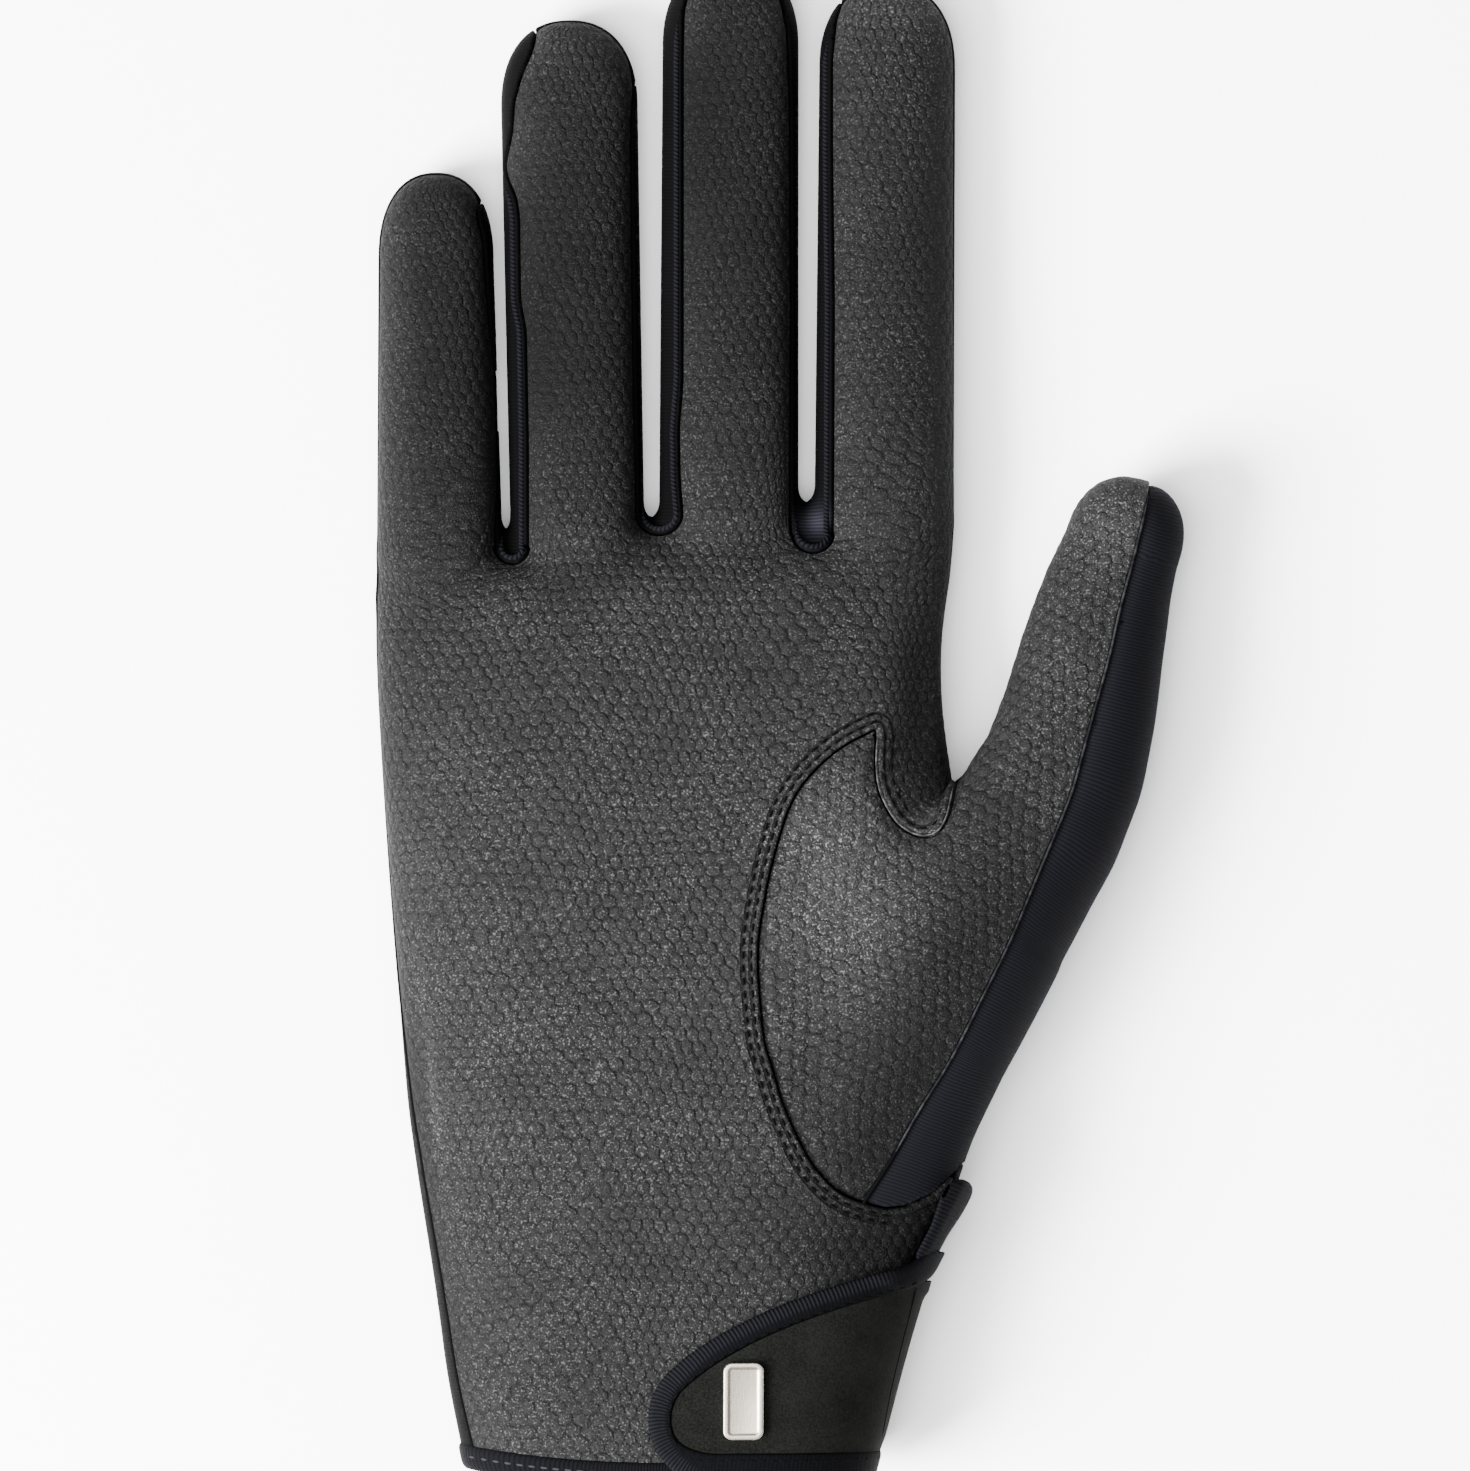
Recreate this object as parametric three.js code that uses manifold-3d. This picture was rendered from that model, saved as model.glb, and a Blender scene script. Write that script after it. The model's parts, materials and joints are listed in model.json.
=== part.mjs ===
// A right-hand riding glove, lying on its back with the palm up.
// X runs across the hand to the thumb side, Y from the cuff to the fingertips and Z up out of the palm.
// Every panel is cut from one hollow shell, so the panels meet along real seams and the hand space stays open.
import * as THREE from 'three';
import { mergeVertices } from 'three/addons/utils/BufferGeometryUtils.js';
import Module from 'manifold-3d';

const wasm = await Module();
wasm.setup();

// Driving dimensions, in millimetres
const palmLength = 154.5; // cuff edge to the webs between the fingers
const palmWidth = 91; // across the knuckles
const palmDepth = 33; // back of the hand to palm, at the heel
const middleLength = 89.5; // middle finger, from its web to its tip
const fingerWidth = 22;
const fingerDepth = 17.5;
const fingerEndLength = 14; // rounded end of a finger
const thumbWidth = 25; // across its middle joint
const thumbDepth = 23;
const thumbEndLength = 11; // rounded end of the thumb
const wall = 1.2; // panel cloth
const seamGap = 0.3; // between two panels at a seam, and between a piece and what it lies on
const restFlat = 1.6; // how far the soft back is flattened where it lies
const cuffHeight = 4; // binding round the cuff
const cuffProud = 0.5; // how far that binding stands out of the cloth, on each side
const cuffBow = 2.6; // how far the cuff edge rises towards the sides of the wrist
const strapHeight = 35; // closure strap, from the cuff edge up the side of the wrist
const strapReach = 40.5; // from the thumb side of the wrist to the strap's round end
const strapEndRadius = 10.5;
const strapShoulder = { along: 0.33, up: 1.7 }; // how full its upper edge is, as shares of strapEndRadius
const strapRise = 2; // how much further that edge rises round the side of the wrist
const strapThickness = 1.4;
const strapFootUp = 0.2; // height at which it is sewn in at the side of the wrist, as a share of palmDepth
const strapBindingWidth = 3.9;
const strapBindingThickness = 2.4;
const fastenerThickness = 0.6; // hook-and-loop patch under the strap
const fastenerMargin = 3; // from the strap's cloth edge to the patch
const fastenerReach = 0.75; // how far towards the side of the wrist the patch goes, as a share of the way there
const badgeWidth = 6.9;
const badgeLength = 12.3;
const badgeThickness = 1.2;
const badgeCorner = 1.4;
const tabWidth = 5; // pull tab at the top of the closure
const tabLength = 12;
const tabThickness = 2;
const tongueWidth = 13.4; // palm cloth that runs down between index finger and thumb

// Facets round each section
const fingerSides = 16;
const thumbSides = 20;
const palmSides = 30;

// Sections of the hand from cuff to webs. along is a share of palmLength, left and right of palmWidth and depth of
// palmDepth. The section below the cuff only carries the form past the edge that cuts it.
const palmSections = [
  { along: -0.05, left: -0.325, right: 0.33, depth: 0.9 },
  { along: 0.0, left: -0.335, right: 0.342, depth: 0.9 },
  { along: 0.055, left: -0.355, right: 0.368, depth: 0.92 },
  { along: 0.115, left: -0.375, right: 0.394, depth: 0.94 },
  { along: 0.18, left: -0.389, right: 0.425, depth: 0.96 },
  { along: 0.24, left: -0.403, right: 0.458, depth: 0.98 },
  { along: 0.305, left: -0.42, right: 0.492, depth: 1.0 },
  { along: 0.39, left: -0.44, right: 0.505, depth: 1.0 },
  { along: 0.52, left: -0.459, right: 0.51, depth: 0.97 },
  { along: 0.65, left: -0.477, right: 0.511, depth: 0.9 },
  { along: 0.765, left: -0.49, right: 0.503, depth: 0.8 },
  { along: 0.845, left: -0.496, right: 0.498, depth: 0.7 },
  { along: 0.92, left: -0.499, right: 0.501, depth: 0.59 },
  { along: 0.965, left: -0.495, right: 0.502, depth: 0.49 },
  { along: 1.0, left: -0.47, right: 0.48, depth: 0.24 },
];
const palmRoundness = 2.5; // superellipse exponent: 2 is an ellipse
const webSlope = 0.1; // the webs lie further out towards the index finger

// Fingers. root and tip are centre lines across the hand as shares of palmWidth, length of middleLength, and
// rootWidth and tipWidth of fingerWidth. gussetLeft and gussetRight say how high up its side the gusset reaches, as
// shares of fingerDepth, and null is a side with no gusset.
const fingers = [
  { name: 'little', root: -0.384, tip: -0.393, length: 0.62, rootWidth: 0.92, tipWidth: 0.83, gussetLeft: null, gussetRight: 0.74 },
  { name: 'ring', root: -0.142, tip: -0.16, length: 0.9, rootWidth: 0.97, tipWidth: 0.995, gussetLeft: 0.84, gussetRight: 0.74 },
  { name: 'middle', root: 0.12, tip: 0.124, length: 1.0, rootWidth: 1.02, tipWidth: 0.99, gussetLeft: 0.86, gussetRight: 0.74 },
  { name: 'index', root: 0.391, tip: 0.397, length: 0.96, rootWidth: 1.0, tipWidth: 0.97, gussetLeft: 0.8, gussetRight: null },
];
// Sections of every finger from inside the palm to its rounded end. along is a share of that length, and size scales
// the section, so that the finger grows out of the palm without a step.
const fingerSections = [
  { along: 0, size: 0.72 },
  { along: 0.1, size: 0.9 },
  { along: 0.2, size: 1 },
  { along: 0.6, size: 1 },
  { along: 1, size: 1 },
];
const fingerStart = -0.12; // the fingers start inside the palm, at this share of palmLength before the webs
const fingerTipDepth = 0.84; // depth before the rounded end, as a share of fingerDepth
const fingerRoundness = 2.25;
const endRoundness = 2.3; // outline of the rounded ends

// Thumb centre line from the heel of the hand to its last joint. x is a share of palmWidth, y of palmLength, z of
// palmDepth, width of thumbWidth and depth of thumbDepth.
const thumbStations = [
  { x: 0.3, y: 0.26, z: 0.46, width: 1.06, depth: 1.06 },
  { x: 0.365, y: 0.37, z: 0.48, width: 1.34, depth: 1.38 },
  { x: 0.432, y: 0.475, z: 0.49, width: 1.44, depth: 1.46 },
  { x: 0.548, y: 0.597, z: 0.47, width: 1.36, depth: 1.32 },
  { x: 0.66, y: 0.682, z: 0.42, width: 1.13, depth: 1.16 },
  { x: 0.709, y: 0.739, z: 0.39, width: 1.05, depth: 1.05 },
  { x: 0.738, y: 0.8, z: 0.37, width: 0.985, depth: 0.99 },
  { x: 0.76, y: 0.862, z: 0.35, width: 0.92, depth: 0.94 },
  { x: 0.787, y: 0.925, z: 0.335, width: 0.83, depth: 0.87 },
  { x: 0.814, y: 0.972, z: 0.33, width: 0.735, depth: 0.8 },
];
const thumbRoundness = 2.2;

// Seams. Shares are of palmWidth across, palmLength along and palmDepth up.
const sideSeam = [
  { along: -0.1, up: 0.66 },
  { along: 0.1, up: 0.62 },
  { along: 0.48, up: 0.46 },
  { along: 0.75, up: 0.3 },
  { along: 0.9, up: 0.27 },
  { along: 2.0, up: 0.25 },
];
const thumbHole = { x: 0.412, y: 0.54, halfWidth: 0.2385, halfLength: 0.2475 }; // ellipse that the thumb is set into
const crotch = { x: 0.515, y: 0.719 }; // between index finger and thumb
const tongueFoot = { x: 0.4505, y: 0.7205 }; // centre of the tongue's round foot
const thumbSeam = [
  { x: 0.875, y: 1.07 },
  { x: 0.79, y: 0.75 },
  { x: 0.34, y: 0.26 },
]; // control points of the curve where thumb cloth meets the ribbed side panel
const thumbUnderSeam = { x: 0.48, up: 0.29 }; // inner edge and height of the side panel's wrap under the thumb
const gussetInset = 0.35; // a gusset starts at this share of the finger's half width from its centre line
const gussetFoot = 0.2; // its lower edge, as a share of fingerDepth
const gussetTuck = 5; // how far it runs past the web into the hand
const gussetTaper = 24; // length over which it narrows to its point
const gussetEnd = 4; // its point lies this far before the fingertip
const gussetPoint = 2; // width left at that point

const farAway = 2 * (palmWidth + palmLength); // larger than anything that is cut

// Lays out a length given as a share of the hand's own width, length or depth.
const across = (share) => share * palmWidth;
const along = (share) => share * palmLength;
const up = (share) => share * palmDepth;

function solidOf(geometry) {
  const bare = new THREE.BufferGeometry();
  bare.setAttribute('position', geometry.getAttribute('position'));
  if (geometry.index) bare.setIndex(geometry.index);
  const merged = mergeVertices(bare, 1e-4);
  return new wasm.Manifold(
    new wasm.Mesh({
      numProp: 3,
      vertProperties: merged.getAttribute('position').array,
      triVerts: new Uint32Array(merged.index.array),
    }),
  );
}

function geometryOf(solid) {
  const mesh = solid.getMesh();
  const geometry = new THREE.BufferGeometry();
  const positions = new Float32Array(mesh.numVert * 3);
  for (let i = 0; i < mesh.numVert; i++) {
    positions.set(mesh.vertProperties.subarray(i * mesh.numProp, i * mesh.numProp + 3), i * 3);
  }
  geometry.setAttribute('position', new THREE.BufferAttribute(positions, 3));
  geometry.setIndex(new THREE.BufferAttribute(mesh.triVerts, 1));
  geometry.computeVertexNormals();
  return geometry;
}

const unite = (solids) => solids.reduce((sum, solid) => sum.add(solid));

// A closed skin through rings of equal point counts, with a fan to one point at each end.
function loft(rings, startPoint, endPoint) {
  const sides = rings[0].length;
  const points = [...rings.flat(), startPoint, endPoint];
  const start = rings.length * sides;
  const end = start + 1;
  const faces = [];
  for (let i = 0; i < sides; i++) {
    const next = (i + 1) % sides;
    faces.push(start, next, i);
    for (let r = 0; r < rings.length - 1; r++) {
      const low = r * sides;
      const high = low + sides;
      faces.push(low + i, low + next, high + i, low + next, high + next, high + i);
    }
    const last = (rings.length - 1) * sides;
    faces.push(last + i, last + next, end);
  }
  const geometry = new THREE.BufferGeometry().setFromPoints(points);
  geometry.setIndex(faces);
  const solid = solidOf(geometry);
  if (solid.volume() > 0) return solid;
  geometry.setIndex(faces.reverse());
  return solidOf(geometry);
}

const signedPower = (value, power) => Math.sign(value) * Math.abs(value) ** power;

// One superellipse section that faces along `direction`, flattened where it lies. grow moves its outline outwards.
function sectionRing({ x, y, z, direction, halfWidth, halfDepth, roundness, sides, grow }) {
  const ring = [];
  for (let i = 0; i < sides; i++) {
    const angle = (i / sides) * 2 * Math.PI;
    const outward = signedPower(Math.cos(angle), 2 / roundness) * halfWidth;
    const upward = signedPower(Math.sin(angle), 2 / roundness) * halfDepth;
    ring.push(
      new THREE.Vector3(
        x + direction.y * outward,
        y - direction.x * outward,
        Math.max(z + upward, -grow),
      ),
    );
  }
  return ring;
}

// The rounded end of a finger or thumb: rings that close in on its last point, as a superellipse.
function endRings(section, direction, length, grow) {
  const steps = [24, 46, 64, 78];
  const rings = steps.map((degrees) => {
    const angle = THREE.MathUtils.degToRad(degrees);
    const forward = Math.sin(angle) ** (2 / endRoundness) * (length + grow);
    const shrink = Math.cos(angle) ** (2 / endRoundness);
    return sectionRing({
      ...section,
      x: section.x + direction.x * forward,
      y: section.y + direction.y * forward,
      halfWidth: section.halfWidth * shrink,
      halfDepth: section.halfDepth * shrink,
      grow,
    });
  });
  const tip = new THREE.Vector3(
    section.x + direction.x * (length + grow),
    section.y + direction.y * (length + grow),
    section.z,
  );
  return { rings, tip };
}

function palmBody(grow) {
  const rings = palmSections.map((section, row) => {
    const isLast = row === palmSections.length - 1;
    const ring = sectionRing({
      x: across((section.left + section.right) / 2),
      y: along(section.along) + (isLast ? grow : 0),
      z: (up(section.depth) - restFlat) / 2,
      direction: new THREE.Vector2(0, 1),
      halfWidth: across(section.right - section.left) / 2 + grow,
      halfDepth: (up(section.depth) + restFlat) / 2 + grow,
      roundness: palmRoundness,
      sides: palmSides,
      grow,
    });
    for (const point of ring) point.y += webSlope * point.x * THREE.MathUtils.smoothstep(section.along, 0.5, 1);
    return ring;
  });
  const middleOf = (ring) => ring.reduce((sum, point) => sum.add(point), new THREE.Vector3()).divideScalar(ring.length);
  return loft(rings, middleOf(rings[0]), middleOf(rings[rings.length - 1]));
}

// Where a finger's parts lie along Y and X, used by its body and by the gussets that are cut from it.
function fingerPlan(finger) {
  const rootX = across(finger.root);
  const tipX = across(finger.tip);
  const startY = palmLength * (1 + fingerStart);
  const tipY = palmLength + middleLength * finger.length;
  const webY = palmLength + webSlope * rootX;
  return {
    rootX,
    tipX,
    startY,
    tipY,
    webY,
    endY: tipY - fingerEndLength,
    rootHalfWidth: (fingerWidth * finger.rootWidth) / 2,
    tipHalfWidth: (fingerWidth * finger.tipWidth) / 2,
  };
}

function fingerBody(finger, grow) {
  const plan = fingerPlan(finger);
  const sections = fingerSections.map(({ along: share, size }) => {
    const depth = size * fingerDepth * THREE.MathUtils.lerp(1, fingerTipDepth, share);
    return {
      x: THREE.MathUtils.lerp(plan.rootX, plan.tipX, share),
      y: THREE.MathUtils.lerp(plan.startY, plan.endY, share),
      z: (depth - restFlat) / 2,
      direction: new THREE.Vector2(0, 1),
      halfWidth: size * THREE.MathUtils.lerp(plan.rootHalfWidth, plan.tipHalfWidth, share) + grow,
      halfDepth: (depth + restFlat) / 2 + grow,
      roundness: fingerRoundness,
      sides: fingerSides,
      grow,
    };
  });
  const last = sections[sections.length - 1];
  const end = endRings(last, last.direction, fingerEndLength, grow);
  const start = new THREE.Vector3(sections[0].x, sections[0].y, sections[0].z);
  return loft([...sections.map(sectionRing), ...end.rings], start, end.tip);
}

function thumbBody(grow) {
  const places = thumbStations.map((s) => new THREE.Vector2(across(s.x), along(s.y)));
  const directionAt = (row) => {
    const from = places[Math.max(row - 1, 0)];
    const to = places[Math.min(row + 1, places.length - 1)];
    return to.clone().sub(from).normalize();
  };
  const sections = thumbStations.map((station, row) => ({
    x: places[row].x,
    y: places[row].y,
    z: up(station.z),
    direction: directionAt(row),
    halfWidth: (thumbWidth * station.width) / 2 + grow,
    halfDepth: (thumbDepth * station.depth) / 2 + grow,
    roundness: thumbRoundness,
    sides: thumbSides,
    grow,
  }));
  const last = sections[sections.length - 1];
  const end = endRings(last, last.direction, thumbEndLength, grow);
  const start = new THREE.Vector3(sections[0].x, sections[0].y, sections[0].z);
  return loft([...sections.map(sectionRing), ...end.rings], start, end.tip);
}

const wristBody = (grow) => palmBody(grow).add(thumbBody(grow));

const handBody = (grow) => unite([wristBody(grow), ...fingers.map((finger) => fingerBody(finger, grow))]);

// A layer that follows the hand, from one height over its surface to another.
const layerOver = (body, low, high) => body(high).subtract(body(low));

// An upright block with the outline of the given points in the XY plane.
function block(outline, zLow = -farAway, zHigh = farAway) {
  const geometry = new THREE.ExtrudeGeometry(new THREE.Shape(outline), {
    depth: zHigh - zLow,
    bevelEnabled: false,
    steps: 1,
  });
  return solidOf(geometry.translate(0, 0, zLow));
}

// Everything between two heights.
function slab(zLow, zHigh) {
  const corner = new THREE.Vector2(farAway, farAway);
  const outline = [
    corner.clone().negate(),
    new THREE.Vector2(corner.x, -corner.y),
    corner,
    new THREE.Vector2(-corner.x, corner.y),
  ];
  return block(outline, zLow, zHigh);
}

// A block with an outline in the YZ plane, between two places across the hand.
function sideBlock(outline, xLow, xHigh) {
  const geometry = new THREE.ExtrudeGeometry(new THREE.Shape(outline), {
    depth: xHigh - xLow,
    bevelEnabled: false,
    steps: 1,
  });
  const lay = new THREE.Matrix4().makeBasis(
    new THREE.Vector3(0, 1, 0),
    new THREE.Vector3(0, 0, 1),
    new THREE.Vector3(1, 0, 0),
  );
  return solidOf(geometry.applyMatrix4(lay).translate(xLow, 0, 0));
}

const ellipsePoints = (x, y, halfWidth, halfLength, count) =>
  new THREE.EllipseCurve(x, y, halfWidth, halfLength).getPoints(count).slice(0, count);

// Moves an open line sideways, to the right of its own direction.
function shiftLine(points, distance) {
  return points.map((point, i) => {
    const from = points[Math.max(i - 1, 0)];
    const to = points[Math.min(i + 1, points.length - 1)];
    const direction = to.clone().sub(from).normalize();
    return new THREE.Vector2(point.x + direction.y * distance, point.y - direction.x * distance);
  });
}

// Everything above the seam between palm and back. grow moves that seam down.
function aboveSideSeam(grow) {
  const seam = sideSeam.map((s) => new THREE.Vector2(along(s.along), up(s.up) - grow));
  const first = seam[0];
  const last = seam[seam.length - 1];
  return sideBlock(
    [...seam, new THREE.Vector2(last.x, farAway), new THREE.Vector2(first.x, farAway)],
    -farAway,
    farAway,
  );
}

// The curve of the cuff edge, moved up the hand by `rise`, as a line across the wrist.
function cuffLine(rise) {
  const reach = palmWidth;
  const wristHalfWidth = across(palmSections[1].right);
  const steps = 16;
  return Array.from({ length: steps + 1 }, (_, i) => {
    const x = THREE.MathUtils.lerp(-reach, reach, i / steps);
    return new THREE.Vector2(x, cuffBow * (x / wristHalfWidth) ** 2 + rise);
  });
}

const beyondCuff = (rise) =>
  block([...cuffLine(rise), new THREE.Vector2(palmWidth, farAway), new THREE.Vector2(-palmWidth, farAway)]);

// Everything on one side, left (-1) or right (1), of the middle of the gap between two fingers.
function besideGap(leftFinger, rightFinger, side) {
  const left = fingerPlan(leftFinger);
  const right = fingerPlan(rightFinger);
  const rootX = (left.rootX + left.rootHalfWidth + right.rootX - right.rootHalfWidth) / 2;
  const tipX = (left.tipX + left.tipHalfWidth + right.tipX - right.tipHalfWidth) / 2;
  const tipY = Math.min(left.endY, right.endY);
  const far = side * farAway;
  const lap = -side * seamGap;
  return block([
    new THREE.Vector2(rootX + lap, -farAway),
    new THREE.Vector2(rootX + lap, left.webY),
    new THREE.Vector2(tipX + lap, tipY),
    new THREE.Vector2(tipX + lap, farAway),
    new THREE.Vector2(far, farAway),
    new THREE.Vector2(far, -farAway),
  ]);
}

// Half of a gusset's space: beside one finger, on its left (-1) or right (1).
function gussetHalf(finger, side, grow) {
  const plan = fingerPlan(finger);
  const top = fingerDepth * (side < 0 ? finger.gussetLeft : finger.gussetRight) + grow;
  const foot = fingerDepth * gussetFoot - grow;
  const middle = (top + foot) / 2;
  const rootY = plan.webY - gussetTuck - grow;
  const pointY = plan.tipY - gussetEnd + grow;
  const half = gussetPoint / 2 + grow;
  const outline = [
    new THREE.Vector2(rootY, foot),
    new THREE.Vector2(pointY - gussetTaper, foot),
    new THREE.Vector2(pointY, middle - half),
    new THREE.Vector2(pointY, middle + half),
    new THREE.Vector2(pointY - gussetTaper, top),
    new THREE.Vector2(rootY, top),
  ];
  const insideX = plan.tipX + side * (plan.tipHalfWidth * gussetInset - grow);
  const outsideX = plan.tipX + side * fingerWidth;
  return sideBlock(outline, Math.min(insideX, outsideX), Math.max(insideX, outsideX));
}

function gussetSpace(leftFinger, rightFinger, grow) {
  const leftHalf = gussetHalf(leftFinger, 1, grow).intersect(besideGap(leftFinger, rightFinger, -1));
  const rightHalf = gussetHalf(rightFinger, -1, grow).intersect(besideGap(leftFinger, rightFinger, 1));
  return leftHalf.add(rightHalf);
}

// The thumb's own area seen from above: the ellipse it is set into and all beyond the crotch, less the tongue.
function thumbArea(grow) {
  const ellipse = block(
    ellipsePoints(
      across(thumbHole.x),
      along(thumbHole.y),
      across(thumbHole.halfWidth) + grow,
      along(thumbHole.halfLength) + grow,
      40,
    ),
  );
  const crotchX = across(crotch.x);
  const crotchY = along(crotch.y);
  const overEllipse = Math.sqrt(1 - ((crotch.x - thumbHole.x) / thumbHole.halfWidth) ** 2);
  const lowY = along(thumbHole.y - thumbHole.halfLength * overEllipse);
  const beyond = block([
    new THREE.Vector2(crotchX - grow, lowY - grow),
    new THREE.Vector2(farAway, lowY - grow),
    new THREE.Vector2(farAway, farAway),
    new THREE.Vector2(crotchX + palmWidth / 10, farAway),
    new THREE.Vector2(crotchX + palmWidth / 10, along(1)),
    new THREE.Vector2(crotchX - grow, crotchY - grow),
  ]);
  const footX = across(tongueFoot.x);
  const footY = along(tongueFoot.y);
  const half = tongueWidth / 2 - grow;
  const foot = block(ellipsePoints(footX, footY, half, half, 24));
  const shank = block([
    new THREE.Vector2(footX - half, footY),
    new THREE.Vector2(footX + half, footY),
    new THREE.Vector2(footX + half, palmLength),
    new THREE.Vector2(footX - half, palmLength),
  ]);
  return ellipse.add(beyond).subtract(foot.add(shank));
}

// Everything on the outer side of the seam along the thumb. grow moves it towards the palm.
function outsideThumbSeam(grow) {
  const [top, middle, low] = thumbSeam.map((s) => new THREE.Vector2(across(s.x), along(s.y)));
  const curve = new THREE.QuadraticBezierCurve(top, middle, low).getPoints(20);
  const line = shiftLine(curve, grow);
  const first = line[0];
  const last = line[line.length - 1];
  return block([
    new THREE.Vector2(first.x, farAway),
    ...line,
    new THREE.Vector2(last.x, -farAway),
    new THREE.Vector2(farAway, -farAway),
    new THREE.Vector2(farAway, farAway),
  ]);
}

const underThumb = (grow) =>
  block(
    [
      new THREE.Vector2(across(thumbUnderSeam.x) - grow, -farAway),
      new THREE.Vector2(farAway, -farAway),
      new THREE.Vector2(farAway, farAway),
      new THREE.Vector2(across(thumbUnderSeam.x) - grow, farAway),
    ],
    -farAway,
    up(thumbUnderSeam.up) + grow,
  );

const aboveThumbEdge = (grow) => slab(up(thumbUnderSeam.up) - grow, farAway);

const thumbPalmSpace = (grow) =>
  thumbArea(grow)
    .intersect(aboveThumbEdge(grow))
    .subtract(outsideThumbSeam(-grow));

const thumbSideSpace = (grow) => thumbArea(grow).intersect(outsideThumbSeam(grow).add(underThumb(grow)));

// Panels are claimed from the shell in order, and each keeps clear of those before it.
function cutPanels() {
  const shell = handBody(0)
    .subtract(handBody(-wall))
    .intersect(beyondCuff(cuffHeight + seamGap));
  const panels = {};
  let free = shell;
  const claim = (name, space, clearance) => {
    panels[name] = space ? free.intersect(space) : free;
    if (clearance) free = free.subtract(clearance);
  };
  for (let i = 0; i < fingers.length - 1; i++) {
    const pair = [fingers[i], fingers[i + 1]];
    claim(`gusset_${pair[0].name}_${pair[1].name}`, gussetSpace(...pair, 0), gussetSpace(...pair, seamGap));
  }
  claim('thumb_palm', thumbPalmSpace(0), thumbPalmSpace(seamGap));
  claim('thumb_side', thumbSideSpace(0), thumbSideSpace(seamGap));
  claim('palm_panel', aboveSideSeam(0), aboveSideSeam(seamGap));
  claim('back_panel');
  return panels;
}

function cuffBinding() {
  const band = beyondCuff(0).subtract(beyondCuff(cuffHeight));
  return layerOver(palmBody, -wall - cuffProud, cuffProud).intersect(band).intersect(slab(0, farAway));
}

// Outline of the closure strap, inset from its outer edge: a round end on the palm and a flank rising to the side.
function strapOutline(inset) {
  const rightX = across(palmSections[5].right) + fingerWidth / 2;
  const sideX = across(palmSections[4].right);
  const endX = sideX - strapReach;
  const lowY = seamGap + inset;
  const radius = strapEndRadius - inset;
  const centre = new THREE.Vector2(endX + strapEndRadius, seamGap + strapEndRadius);
  const shape = new THREE.Shape();
  shape.moveTo(rightX, lowY);
  shape.lineTo(centre.x, lowY);
  shape.absarc(centre.x, centre.y, radius, -Math.PI / 2, -1.25 * Math.PI, true);
  shape.quadraticCurveTo(
    centre.x + strapEndRadius * strapShoulder.along,
    centre.y + strapEndRadius * strapShoulder.up - inset,
    sideX,
    strapHeight - inset,
  );
  shape.lineTo(rightX, strapHeight + strapRise - inset);
  return shape.getPoints(14);
}

const strapBase = seamGap + fastenerThickness + seamGap; // height of the strap's underside over the palm
const strapCloth = strapBindingWidth + seamGap; // inset of the strap's cloth inside its binding
const strapFoot = up(strapFootUp);

function strapPieces() {
  const above = slab(strapFoot, farAway);
  const cloth = block(strapOutline(strapCloth)).intersect(above);
  const rim = block(strapOutline(0)).subtract(block(strapOutline(strapBindingWidth))).intersect(above);
  const rimBase = strapBase + (strapThickness - strapBindingThickness) / 2;
  return {
    closure_strap: layerOver(wristBody, strapBase, strapBase + strapThickness).intersect(cloth),
    strap_binding: layerOver(wristBody, rimBase, rimBase + strapBindingThickness).intersect(rim),
  };
}

// The hook-and-loop patch between strap and palm, kept off the side of the wrist.
function fastenerPatch() {
  const outline = block(strapOutline(strapCloth + fastenerMargin));
  const rightX = across(palmSections[2].right) * fastenerReach;
  const lowY = cuffHeight + cuffBow;
  const corners = [
    new THREE.Vector2(-farAway, lowY),
    new THREE.Vector2(rightX, lowY),
    new THREE.Vector2(rightX, farAway),
    new THREE.Vector2(-farAway, farAway),
  ];
  const onPalm = block(corners, strapFoot);
  return layerOver(wristBody, seamGap, seamGap + fastenerThickness).intersect(outline).intersect(onPalm);
}

// Height of the wrist's upper surface with a layer of the given height on it.
function wristTop(x, y, height) {
  const row = palmSections.findIndex((s) => along(s.along) > y);
  const [low, high] = [palmSections[row - 1], palmSections[row]];
  const share = (y - along(low.along)) / along(high.along - low.along);
  const mixed = (key) => THREE.MathUtils.lerp(low[key], high[key], share);
  const halfWidth = across(mixed('right') - mixed('left')) / 2 + height;
  const halfDepth = (up(mixed('depth')) + restFlat) / 2 + height;
  const offCentre = Math.abs(x - across(mixed('right') + mixed('left')) / 2) / halfWidth;
  return (up(mixed('depth')) - restFlat) / 2 + halfDepth * (1 - offCentre ** palmRoundness) ** (1 / palmRoundness);
}

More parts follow.
